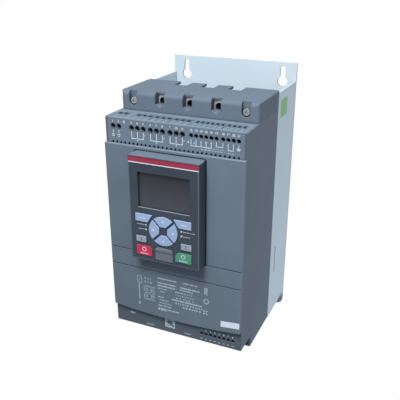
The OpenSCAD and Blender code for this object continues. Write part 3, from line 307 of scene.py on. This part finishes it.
class Print:
    """Flat shapes, drawn as (across, up) on one surface and made into one thin piece."""

    def __init__(self, place):
        self.place = place
        self.points = []
        self.faces = []

    def poly(self, corners):
        """Plate with these corners."""
        n = len(corners)
        start = len(self.points)
        for h in (PRINT_THICK, 0.0):
            self.points += [self.place(u, v, h) for u, v in corners]
        self.faces.append(tuple(range(start, start + n)))
        self.faces.append(tuple(range(start + 2 * n - 1, start + n - 1, -1)))
        for k in range(n):
            j = (k + 1) % n
            self.faces.append((start + k, start + n + k, start + n + j, start + j))

    def rect(self, u0, v0, u1, v1):
        """Rectangle between two corners."""
        self.poly([(u0, v0), (u1, v0), (u1, v1), (u0, v1)])

    def bar(self, u, v, wide, high):
        """Rectangle round a middle."""
        self.rect(u - wide / 2, v - high / 2, u + wide / 2, v + high / 2)

    def frame(self, u0, v0, u1, v1, stroke):
        """Outline of a rectangle, drawn inside it."""
        self.rect(u0, v0, u1, v0 + stroke)
        self.rect(u0, v1 - stroke, u1, v1)
        self.rect(u0, v0 + stroke, u0 + stroke, v1 - stroke)
        self.rect(u1 - stroke, v0 + stroke, u1, v1 - stroke)

    def line(self, u0, v0, u1, v1, stroke):
        """Straight stroke between two points."""
        run = math.hypot(u1 - u0, v1 - v0)
        du, dv = (v0 - v1) / run * stroke / 2, (u1 - u0) / run * stroke / 2
        self.poly([(u0 - du, v0 - dv), (u1 - du, v1 - dv), (u1 + du, v1 + dv), (u0 + du, v0 + dv)])

    def comb(self, stems, foot, stroke, bar):
        """Upright strokes, each by its place and upper end, on a bar that joins their feet."""
        for u, head in stems:
            self.rect(u - stroke / 2, foot, u + stroke / 2, head)
        places = [u for u, head in stems]
        self.rect(min(places) - stroke / 2, foot - bar, max(places) + stroke / 2, foot)

    def ring(self, u, v, r, stroke, parts=24):
        """Ring of one width inside a radius."""
        inner = r - stroke
        turns = [2 * math.pi * k / parts for k in range(parts + 1)]
        for a, b in zip(turns, turns[1:]):
            corners = ((inner, a), (r, a), (r, b), (inner, b))
            self.poly([(u + reach * math.cos(turn), v + reach * math.sin(turn)) for reach, turn in corners])

    def arc(self, a, b, v0, v1, parts=8):
        """Strip round part of a bore, between two angles in degrees."""
        turns = [math.radians(a + (b - a) * k / parts) for k in range(parts + 1)]
        for u0, u1 in zip(turns, turns[1:]):
            self.rect(u0, v0, u1, v1)

    def row(self, u0, u1, v, high, lengths, gaps):
        """Row of bars of chance lengths over a foot line, as a bare stand-in for a line of print."""
        u = u0
        while u < u1 - SHORTEST_BAR:
            end = min(u + random.uniform(*lengths), u1)
            self.rect(u, v, end, v + high)
            u = end + random.uniform(*gaps)

    def words(self, text, u, v, size):
        """Generic figures, centred on a point."""
        curve = bpy.data.curves.new("figures", "FONT")
        curve.body = text
        curve.size = size
        curve.offset = FIGURE_BOLD * size
        curve.align_x = "CENTER"
        curve.align_y = "CENTER"
        holder = bpy.data.objects.new("figures", curve)
        scene.collection.objects.link(holder)
        bpy.context.view_layer.update()
        shape = holder.evaluated_get(bpy.context.evaluated_depsgraph_get()).to_mesh()
        start = len(self.points)
        self.points += [self.place(u + p.co.x, v + p.co.y, PRINT_THICK) for p in shape.vertices]
        self.faces += [tuple(start + k for k in p.vertices) for p in shape.polygons]
        bpy.data.objects.remove(holder)
        bpy.data.curves.remove(curve)

    def make(self, name, finish, body=BODY):
        """One piece of all shapes so far, riding on a body."""
        mesh = bpy.data.meshes.new(name)
        mesh.from_pydata([[c * MM for c in p] for p in self.points], [], self.faces)
        mesh.update()
        piece = bpy.data.objects.new(name, mesh)
        piece.data.materials.append(finish)
        scene.collection.objects.link(piece)
        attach(piece, body)


def on_front(y):
    """A surface that faces the front, at that depth."""
    return lambda u, v, h: (u, y - PRINT_LIFT - h, v)


def on_right(x):
    """A surface that faces right; across runs to the back."""
    return lambda u, v, h: (x + PRINT_LIFT + h, u, v)


def in_bore(x, z, r):
    """The wall of a bore that runs front to back; across is the angle in radians, up runs to the back."""
    return lambda u, v, h: (x + (r - PRINT_LIFT - h) * math.cos(u), v, z + (r - PRINT_LIFT - h) * math.sin(u))


def ways(node, n):
    """Middles of a terminal row's ways, which reach half a gap past its ends."""
    low, high = box(node)
    pitch = (high.x - low.x + WAY_GAP) / n
    return [low.x - WAY_GAP / 2 + (k + 0.5) * pitch for k in range(n)]


# Terminal panel: figures over the holes, marks and notes under them, and painted shade in a dark ring round
# each wide hole

HOLE_DROP = 9.0  # from the ledge to the middles of the holes
FIGURE_RISE = 5.2  # from the holes to the middles of the figures
FIGURE_SIZE = 3.0
MARK_DROP = 3.2  # from the holes to the tops of the marks
SQUARE_X, SQUARE_RISE, SQUARE_SIZE = -53.5, 5.3, 2.0
SUPPLY_BARS = ((2.0, 0.6, 3.2), (5.25, 3.4, 0.7), (7.05, 2.4, 0.7))  # drop, width and height of each
RELAY_STROKE, RELAY_DEPTH = 0.6, 6.8
TICK_SHIFT, TICK_DROP, TICK_WIDE = 1.55, 3.1, 1.3
DOT_DROP, DOT_WIDE, DOT_HIGH = 2.0, 1.2, 0.8
SIGNAL_STROKE, SIGNAL_BAR = 0.52, 0.5
INPUT_DEPTH, INPUT_GAP = 6.3, 0.8
CROSSBAR_DROP, CROSSBAR_WIDE = 1.85, 2.0
FLAG_SHIFT, FLAG_DROP, FLAG_WIDE, FLAG_HIGH = 3.3, 3.8, 0.8, 1.6
PLUS_SHIFT, PLUS_DROP, PLUS_SIZE = 2.9, 3.4, 2.4
LOOP_DEPTH, OUTPUT_DEPTH = 4.4, 6.4
EARTH_STEM, EARTH_BAR, EARTH_PITCH = 3.8, 0.6, 0.9
EARTH_WIDTHS = (4.4, 3.0, 1.6)
NOTE_LINE_DROP, NOTE_LINE, NOTE_REACH = 7.4, 0.4, 1.5
NOTE_HIGH, NOTE_SHORTEST, NOTE_GAPS = 0.8, 1.5, (0.8, 1.6)
NOTE_ROWS = ((0.0, 2.0, 9.4, 4.0), (-0.5, 1.0, 9.9, 3.0))  # shift of both ends, drop and longest bar
# Ring of painted shade round each wide hole
HOLE_SHADE_RADIUS, HOLE_SHADE_WIDTH = 2.75, 0.4

hole_z = ledge_high.z - HOLE_DROP
top = hole_z - MARK_DROP
supply = ways("supply_terminals", 2)
relays = [ways("relay_terminals_%d" % k, 3) for k in (1, 2, 3)]
inputs = ways("input_terminals", 6)
outputs = ways("output_terminals", 4)
wide_holes = supply + relays[0] + relays[1] + relays[2]

marks = Print(on_front(Y_PANEL))
for k, x in enumerate(wide_holes + inputs + outputs):
    marks.words(str(k + 1), x, hole_z + FIGURE_RISE, FIGURE_SIZE)
for x in supply:
    for drop, wide, high in SUPPLY_BARS:
        marks.bar(x, top - drop, wide, high)
for first, middle, last in relays:
    foot = top - RELAY_DEPTH
    marks.comb([(first, top), (last, top)], foot, RELAY_STROKE, RELAY_STROKE)
    marks.rect(middle - RELAY_STROKE / 2, foot + RELAY_STROKE, middle + RELAY_STROKE / 2, top)
    marks.bar(last + TICK_SHIFT, top - TICK_DROP, TICK_WIDE, RELAY_STROKE)
    marks.bar(middle, foot - DOT_DROP, DOT_WIDE, DOT_HIGH)
stems = [(x, top) for x in inputs[:2]] + [(x, top - INPUT_GAP) for x in inputs[2:5]]
marks.comb(stems, top - INPUT_DEPTH, SIGNAL_STROKE, SIGNAL_BAR)
for x in inputs[2:5]:
    marks.bar(x, top - CROSSBAR_DROP, CROSSBAR_WIDE, SIGNAL_BAR)
marks.bar(inputs[0] + FLAG_SHIFT, top - FLAG_DROP, FLAG_WIDE, FLAG_HIGH)
for wide, high in ((PLUS_SIZE, RELAY_STROKE), (RELAY_STROKE, PLUS_SIZE)):
    marks.bar(inputs[0] - PLUS_SHIFT, top - PLUS_DROP, wide, high)
for first, last, depth in ((inputs[5], outputs[0], LOOP_DEPTH), (outputs[1], outputs[2], OUTPUT_DEPTH)):
    marks.comb([(first, top), (last, top)], top - depth, SIGNAL_STROKE, SIGNAL_BAR)
earth = outputs[3]
marks.rect(earth - SIGNAL_STROKE / 2, top - EARTH_STEM, earth + SIGNAL_STROKE / 2, top)
for k, wide in enumerate(EARTH_WIDTHS):
    marks.bar(earth, top - EARTH_STEM - EARTH_BAR / 2 - k * EARTH_PITCH, wide, EARTH_BAR)
square_low, square_high = hole_z + SQUARE_RISE - SQUARE_SIZE / 2, hole_z + SQUARE_RISE + SQUARE_SIZE / 2
marks.frame(SQUARE_X - SQUARE_SIZE / 2, square_low, SQUARE_X + SQUARE_SIZE / 2, square_high, RELAY_STROKE)
marks.make("panel_marks", INK)

notes = Print(on_front(Y_PANEL))
line_z = top - NOTE_LINE_DROP
notes.rect(inputs[3] - NOTE_REACH, line_z, outputs[0] + NOTE_REACH, line_z + NOTE_LINE)
note_spans = ((inputs[2], outputs[0]), (outputs[1], outputs[2]))
for (first, last), (start, end, drop, longest) in zip(note_spans, NOTE_ROWS):
    notes.row(first + start, last + end, top - drop, NOTE_HIGH, (NOTE_SHORTEST, longest), NOTE_GAPS)
notes.make("panel_notes", GREY_INK)

# Painted shade: a dark ring round each wide hole, which makes it look wider
hole_shade = Print(on_front(Y_PANEL))
for x in wide_holes:
    hole_shade.ring(x, hole_z, HOLE_SHADE_RADIUS, HOLE_SHADE_WIDTH)
hole_shade.make("painted_hole_shade", BLACK)


# Front cover: blank slanting label, rows of bars and plain signs in place of data, and a faint diagram

LABEL_LEFT, LABEL_RIGHT = 53.5, 74.0
LABEL_FOOT, LABEL_RISE, LABEL_HIGH = 44.0, 2.0, 7.0
DATA_LEFT = -19.5
DATA_ROWS = (  # left end, right end, middle height, height and longest bar of each row
    (DATA_LEFT, 3.0, 85.0, 1.5, 9), (DATA_LEFT, 2.0, 79.5, 1.5, 9), (DATA_LEFT, 1.0, 76.0, 1.5, 8),
    (DATA_LEFT, -7.5, 72.5, 1.0, 4), (-17.0, -11.5, 69.0, 1.0, 3), (DATA_LEFT, -11.0, 62.0, 1.5, 5),
    (-18.0, -7.0, 58.5, 1.0, 4), (-18.0, -2.5, 55.0, 1.0, 3), (DATA_LEFT, -3.0, 51.5, 1.2, 6),
    (DATA_LEFT, -8.5, 47.0, 3.0, 5), (-7.5, 5.5, 47.5, 1.5, 6),
    (10.0, 27.0, 85.5, 1.3, 8), (7.0, 29.5, 79.5, 1.5, 8), (7.0, 22.0, 76.5, 1.2, 5),
    (1.0, 13.5, 72.5, 1.2, 3), (15.0, 22.0, 72.5, 1.2, 2), (1.5, 24.0, 69.0, 1.2, 1.4),
    (-3.0, 32.0, 62.5, 1.6, 10), (1.5, 32.0, 59.0, 2.0, 1.8), (10.0, 32.0, 55.5, 2.0, 2.2),
)
LONG_BAR = 2.5  # rows whose longest bar is longer have narrow gaps
NARROW_GAPS, WIDE_GAPS = (0.5, 0.9), (0.8, 1.8)
SIGN_LEFTS, SIGN_WIDE, SIGN_FOOT, SIGN_HEAD = (35.0, 37.0), 1.3, 78.0, 86.5
RING_X, RING_Z, RING_RADIUS, RING_STROKE = 37.0, 70.0, 3.2, 1.1
CROSS_X, CROSS_Z, CROSS_REACH, CROSS_STROKE = 36.0, 56.5, 2.5, 1.2
STEM_X, STEM_FOOT, STEM_HEAD, STEM_STROKE = -42.0, 53.0, 73.5, 1.6
SWITCH_LEFT, SWITCH_RIGHT, SWITCH_HEAD, SWITCH_STROKE = -44.0, -38.5, 83.0, 0.9
SLASH_INSET, SLASH_STROKE = 0.5, 0.8
MOTOR_X, MOTOR_Z, MOTOR_WIDE, MOTOR_HIGH = -42.25, 48.5, 2.5, 4.0
RAIL_LEFT, RAIL_RIGHT, RAIL_STROKE = -36.5, -23.0, 1.4
RAIL_FOOT, RAIL_PITCH = 55.5, 8.0
POSTS, POST_STROKE = (-36.0, -27.5), 1.2
CONTACTS, CONTACT_WIDE, CONTACT_HIGH, CONTACT_STROKE = (-33.0, -25.0), 3.0, 3.6, 0.8
FAINT_HIGH = 2.0
FAINT_ROWS = (  # left end, right end, foot, range of bar lengths and range of gaps of each row
    (-35.5, -26.0, 76.0, (1.0, 2.5), (1.0, 2.0)), (-35.5, -26.0, 80.5, (1.0, 2.5), (1.0, 2.0)),
    (2.0, 24.0, 64.5, (1.2, 2.4), (1.2, 2.6)),
)

label = Print(on_front(Y_COVER))
label.poly([(LABEL_LEFT, LABEL_FOOT), (LABEL_RIGHT, LABEL_FOOT + LABEL_RISE),
            (LABEL_RIGHT, LABEL_FOOT + LABEL_RISE + LABEL_HIGH), (LABEL_LEFT, LABEL_FOOT + LABEL_HIGH)])
label.make("blank_label", LABEL)

data = Print(on_front(Y_COVER))
for left, right, z, high, longest in DATA_ROWS:
    gaps = NARROW_GAPS if longest > LONG_BAR else WIDE_GAPS
    data.row(left, right, z - high / 2, high, (longest / 2, longest), gaps)
for left in SIGN_LEFTS:
    data.rect(left, SIGN_FOOT, left + SIGN_WIDE, SIGN_HEAD)
data.ring(RING_X, RING_Z, RING_RADIUS, RING_STROKE)
for rise in (-CROSS_REACH, CROSS_REACH):
    data.line(CROSS_X - CROSS_REACH, CROSS_Z - rise, CROSS_X + CROSS_REACH, CROSS_Z + rise, CROSS_STROKE)
data.make("data_lines", GREY_INK)

diagram = Print(on_front(Y_COVER))
diagram.frame(SWITCH_LEFT, STEM_HEAD, SWITCH_RIGHT, SWITCH_HEAD, SWITCH_STROKE)
diagram.line(SWITCH_LEFT + SLASH_INSET, STEM_HEAD + SLASH_INSET,
             SWITCH_RIGHT - SLASH_INSET, SWITCH_HEAD - SLASH_INSET, SLASH_STROKE)
diagram.line(STEM_X, STEM_FOOT, STEM_X, STEM_HEAD, STEM_STROKE)
diagram.bar(MOTOR_X, MOTOR_Z, MOTOR_WIDE, MOTOR_HIGH)
rails = [RAIL_FOOT + RAIL_PITCH * k for k in range(3)]
for z in rails:
    diagram.line(RAIL_LEFT, z, RAIL_RIGHT, z, RAIL_STROKE)
for z in rails[:2]:
    middle = z + RAIL_PITCH / 2
    for x in POSTS:
        diagram.line(x, z, x, z + RAIL_PITCH, POST_STROKE)
    for x in CONTACTS:
        diagram.frame(x - CONTACT_WIDE / 2, middle - CONTACT_HIGH / 2,
                      x + CONTACT_WIDE / 2, middle + CONTACT_HIGH / 2, CONTACT_STROKE)
for left, right, z, lengths, gaps in FAINT_ROWS:
    diagram.row(left, right, z, FAINT_HIGH, lengths, gaps)
diagram.make("faint_diagram", FAINT_INK)


# Base strip: figures and dashes at the communication terminals, plain marks and a chance code square

STRIP_FIGURE_RISE, STRIP_FIGURE_SIZE = 14.8, 2.8
DASH_RISE, DASH_WIDE, DASH_HIGH = 3.9, 2.2, 1.2
STRIP_ROWS = (  # left end, right end, middle height and height of each row
    (-57.5, -51.5, 29.5, 2.0), (-36.5, -28.0, 20.0, 1.3), (9.0, 17.5, 20.0, 1.3),
)
STRIP_LENGTHS, STRIP_GAPS = (1.2, 2.2), (0.4, 0.6)
CODE_LEFT, CODE_FOOT, CODE_CELL, CODE_FILL = -14.0, 22.0, 1.5, 0.5
CODE_COLUMNS, CODE_ROWS = 8, 7

comms = ways("comms_terminals", 8)
strip = Print(on_front(Y_PANEL))
for k, x in enumerate(comms):
    strip.words(str(k + 1), x, base_low.z + STRIP_FIGURE_RISE, STRIP_FIGURE_SIZE)
strip.make("strip_figures", INK)

dashes = Print(on_front(Y_PANEL))
for x in comms:
    dashes.bar(x, base_low.z + DASH_RISE, DASH_WIDE, DASH_HIGH)
for left, right, z, high in STRIP_ROWS:
    dashes.row(left, right, z - high / 2, high, STRIP_LENGTHS, STRIP_GAPS)
for column in range(CODE_COLUMNS):
    for row in range(CODE_ROWS):
        filled = random.random() < CODE_FILL
        if filled or column in (0, CODE_COLUMNS - 1) or row in (0, CODE_ROWS - 1):
            x, z = CODE_LEFT + column * CODE_CELL, CODE_FOOT + row * CODE_CELL
            dashes.rect(x, z, x + CODE_CELL, z + CODE_CELL)
dashes.make("strip_marks", GREY_INK)


# Chassis: blank sticker on the right wall, and painted shade on the sheet's right-facing cut edges, at the
# plate's right and in the keyholes

STICKER_FRONT, STICKER_REAR = -58.5, -34.5
STICKER_FOOT, STICKER_HEAD = 242.5, 262.0
CUT_FRONT, CUT_REAR = -1.9, -0.1  # within the thickness of the sheet
PLATE_RUN, PLATE_INSET = 19.0, 0.1  # part of the plate's right edge that stands over the wall
KEYHOLES = (-59.0, 59.0)
SLOT_RADIUS, SLOT_DROP, SLOT_ARC = 3.0, 7.0, (90, 180)
HEAD_RADIUS, HEAD_DROP, HEAD_ARC = 5.75, 21.2, (122, 270)
SLOT_RISE = 4.9  # from the middle of the head to the foot of the slot

sticker = Print(on_right(chassis_high.x))
sticker.rect(STICKER_FRONT, STICKER_FOOT, STICKER_REAR, STICKER_HEAD)
sticker.make("green_sticker", STICKER)

# Painted shade on the edges of the sheet that face right
edge_shade = Print(on_right(chassis_high.x))
edge_shade.rect(CUT_FRONT, chassis_high.z - PLATE_RUN, CUT_REAR, chassis_high.z - PLATE_INSET)
slot_z, head_z = chassis_high.z - SLOT_DROP, chassis_high.z - HEAD_DROP
for x in KEYHOLES:
    edge_shade.place = on_right(x - SLOT_RADIUS)
    edge_shade.rect(CUT_FRONT, head_z + SLOT_RISE, CUT_REAR, slot_z)
    edge_shade.place = in_bore(x, slot_z, SLOT_RADIUS)
    edge_shade.arc(*SLOT_ARC, CUT_FRONT, CUT_REAR)
    edge_shade.place = in_bore(x, head_z, HEAD_RADIUS)
    edge_shade.arc(*HEAD_ARC, CUT_FRONT, CUT_REAR)
edge_shade.make("painted_edge_shade", PAINTED_EDGE_INK)


# Keypad: line under the red band, painted highlight along the bezel's edges, line under the display, legends
# by the lights

BAND_GAP, BAND_LINE = 0.1, 0.9
RIM_INSET, RIM_FINE, RIM_BROAD = 0.9, 0.4, 0.7
RIM_FOOT, RIM_END, RIM_HEAD = 1.5, 1.8, 1.2
GLASS_INSET, GLASS_RISE, GLASS_LINE = 2.0, 1.3, 0.6
LIGHT_HALF, LIGHT_GAP = 0.9, 0.8
LOWER_REACH, UPPER_REACH = (7.2, 8.6), (9.0, 13.6)  # of the legends, left and right of the lights
LEGEND_DROP, LEGEND_HIGH = 0.4, 0.75
LEGEND_LENGTHS, LEGEND_GAPS = (1.6, 4.2), (0.4, 0.6)

band_line = Print(on_front(pad_low.y))
band_line.rect(band_low.x, band_low.z - BAND_GAP - BAND_LINE, band_high.x, band_low.z - BAND_GAP)
band_line.make("band_line", INK)

# Painted highlight: fine pale lines along the bezel's left, right and lower edges
bezel_highlight = Print(on_front(pad_low.y))
foot, head = pad_low.z + RIM_FOOT, band_low.z - RIM_HEAD
left, right, low = pad_low.x + RIM_INSET, pad_high.x - RIM_INSET, pad_low.z + RIM_INSET
bezel_highlight.rect(left, foot, left + RIM_FINE, head)
bezel_highlight.rect(right - RIM_BROAD, foot, right, head)
bezel_highlight.rect(pad_low.x + RIM_END, low, pad_high.x - RIM_END, low + RIM_FINE)
bezel_highlight.make("painted_bezel_highlight", PAINTED_EDGE_INK)

legends = Print(on_front(pad_low.y))
line_z = glass_low.z + GLASS_RISE
legends.rect(glass_low.x + GLASS_INSET, line_z, glass_high.x - GLASS_INSET, line_z + GLASS_LINE)
for z, reach in ((light_low.z + LIGHT_HALF, LOWER_REACH), (light_high.z - LIGHT_HALF, UPPER_REACH)):
    left = light_low.x - reach[0], light_low.x - LIGHT_GAP
    right = light_high.x + LIGHT_GAP, light_high.x + reach[1]
    for start, end in (left, right):
        legends.row(start, end, z - LEGEND_DROP, LEGEND_HIGH, LEGEND_LENGTHS, LEGEND_GAPS)
legends.make("keypad_legends", GREY_INK)


# Keys: arrows, bars, two figures, and rings over rows of bars

ARROWS = {"up_key": (0, 1), "down_key": (0, -1), "left_key": (-1, 0), "right_key": (1, 0)}
ARROW_SHIFT, ARROW_TIP, ARROW_TAIL, ARROW_HALF = 0.8, 1.3, 0.8, 1.3
SOFT_SHIFT, SOFT_WIDE, SOFT_HIGH = 1.5, 6.0, 0.6
KEY_FIGURE_SIZE = 5.0
KEY_RING_RISE, KEY_RING_RADIUS, KEY_RING_WIDTH = 1.6, 2.6, 1.0
KEY_ROW_REACH, KEY_ROW_DROP, KEY_ROW_HIGH = 4.6, 4.0, 1.5
KEY_ROW_LENGTHS, KEY_ROW_GAPS = (1.4, 2.4), (0.4, 0.5)


def key_middle(key):
    """Middle of a key and a print on its face."""
    low, high = box(key)
    return (low.x + high.x) / 2, (low.z + high.z) / 2, Print(on_front(low.y))


for key, (du, dv) in ARROWS.items():
    u, v, mark = key_middle(key)
    corners = ((ARROW_TIP, 0.0), (-ARROW_TAIL, ARROW_HALF), (-ARROW_TAIL, -ARROW_HALF))
    mark.poly([(u + du * (ARROW_SHIFT + ahead) - dv * aside, v + dv * (ARROW_SHIFT + ahead) + du * aside)
               for ahead, aside in corners])
    mark.make(key + "_mark", LABEL, key)
for key, side in (("left_soft_key", -1), ("right_soft_key", 1)):
    u, v, mark = key_middle(key)
    mark.bar(u + side * SOFT_SHIFT, v, SOFT_WIDE, SOFT_HIGH)
    mark.make(key + "_mark", LABEL, key)
for key, figure in (("local_key", "i"), ("help_key", "?")):
    u, v, mark = key_middle(key)
    mark.words(figure, u, v, KEY_FIGURE_SIZE)
    mark.make(key + "_mark", BEZEL, key)
for key, finish in (("stop_key", PINK_INK), ("start_key", MINT_INK)):
    u, v, mark = key_middle(key)
    mark.ring(u, v + KEY_RING_RISE, KEY_RING_RADIUS, KEY_RING_WIDTH)
    mark.row(u - KEY_ROW_REACH, u + KEY_ROW_REACH, v - KEY_ROW_DROP, KEY_ROW_HIGH,
             KEY_ROW_LENGTHS, KEY_ROW_GAPS)
    mark.make(key + "_mark", finish, key)


# Camera, fitted to the photograph's edges

CAMERA_PLACE = (0.2378, -0.6353, 0.4009)  # metres
CAMERA_YAW, CAMERA_PITCH = math.radians(-23.84), math.radians(22.95)
FOCAL_PIXELS, PHOTO_PIXELS = 579.3, 400
SENSOR_WIDTH = 36.0
CLIP_START = 0.01  # metres


def aim(thing, direction):
    """Turn a camera or lamp to look along a direction."""
    thing.rotation_mode = "QUATERNION"
    thing.rotation_quaternion = direction.to_track_quat("-Z", "Y")


camera = bpy.data.objects.new("camera", bpy.data.cameras.new("camera"))
scene.collection.objects.link(camera)
camera.location = CAMERA_PLACE
level_run = math.cos(CAMERA_PITCH)
forward = (math.sin(CAMERA_YAW) * level_run, math.cos(CAMERA_YAW) * level_run, -math.sin(CAMERA_PITCH))
aim(camera, Vector(forward))
camera.data.sensor_width = SENSOR_WIDTH
camera.data.lens = FOCAL_PIXELS / PHOTO_PIXELS * SENSOR_WIDTH
camera.data.clip_start = CLIP_START
scene.camera = camera


# Light: a room, brighter above than below, that camera and mirror rays see as white, and three soft lamps

SKY_COLOUR = (0.88, 0.94, 1.0, 1)
SKY_HEIGHTS, SKY_STRENGTHS = (-0.5, 0.3), (0.1, 0.5)  # direction's part along Z, low and high
WHITE = (1, 1, 1, 1)


def larger(tree, first, second):
    """The larger of two values."""
    node = tree.nodes.new("ShaderNodeMath")
    node.operation = "MAXIMUM"
    tree.links.new(first, node.inputs[0])
    tree.links.new(second, node.inputs[1])
    return node.outputs["Value"]


def studio():
    """World that lights with the room and shows white to camera, mirror and glass rays."""
    world = bpy.data.worlds.new("studio")
    world.use_nodes = True
    tree = world.node_tree
    tree.nodes.clear()
    add = tree.nodes.new
    link = tree.links.new
    height = add("ShaderNodeSeparateXYZ")
    link(add("ShaderNodeTexCoord").outputs["Generated"], height.inputs["Vector"])
    sky = add("ShaderNodeBackground")
    sky.inputs["Color"].default_value = SKY_COLOUR
    link(mapped(tree, height.outputs["Z"], SKY_HEIGHTS, SKY_STRENGTHS), sky.inputs["Strength"])
    white = add("ShaderNodeBackground")
    white.inputs["Color"].default_value = WHITE
    white.inputs["Strength"].default_value = 1.0
    path = add("ShaderNodeLightPath")
    mirrored = larger(tree, path.outputs["Is Glossy Ray"], path.outputs["Is Transmission Ray"])
    mix = add("ShaderNodeMixShader")
    link(larger(tree, path.outputs["Is Camera Ray"], mirrored), mix.inputs["Fac"])
    link(sky.outputs["Background"], mix.inputs[1])
    link(white.outputs["Background"], mix.inputs[2])
    link(mix.outputs["Shader"], add("ShaderNodeOutputWorld").inputs["Surface"])
    return world


def lamp(name, place, target, size, power, colour=(1, 1, 1)):
    """Square soft lamp aimed at a point, in metres and watts."""
    light = bpy.data.lights.new(name, "AREA")
    light.size = size
    light.energy = power
    light.color = colour
    holder = bpy.data.objects.new(name, light)
    scene.collection.objects.link(holder)
    holder.location = place
    aim(holder, Vector(target) - Vector(place))


scene.world = studio()
lamp("key_lamp", place=(0.02, -0.92, 1.3), target=(0, -0.12, 0.14), size=0.5, power=21)
lamp("side_lamp", place=(1.6, -0.3, 0.32), target=(0, -0.1, 0.14), size=1.2, power=9.6, colour=(0.9, 0.92, 1))
lamp("top_lamp", place=(0.1, -0.2, 1.6), target=(0, -0.08, 0.2), size=0.9, power=5)
scene.view_settings.view_transform = "Standard"


low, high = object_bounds()
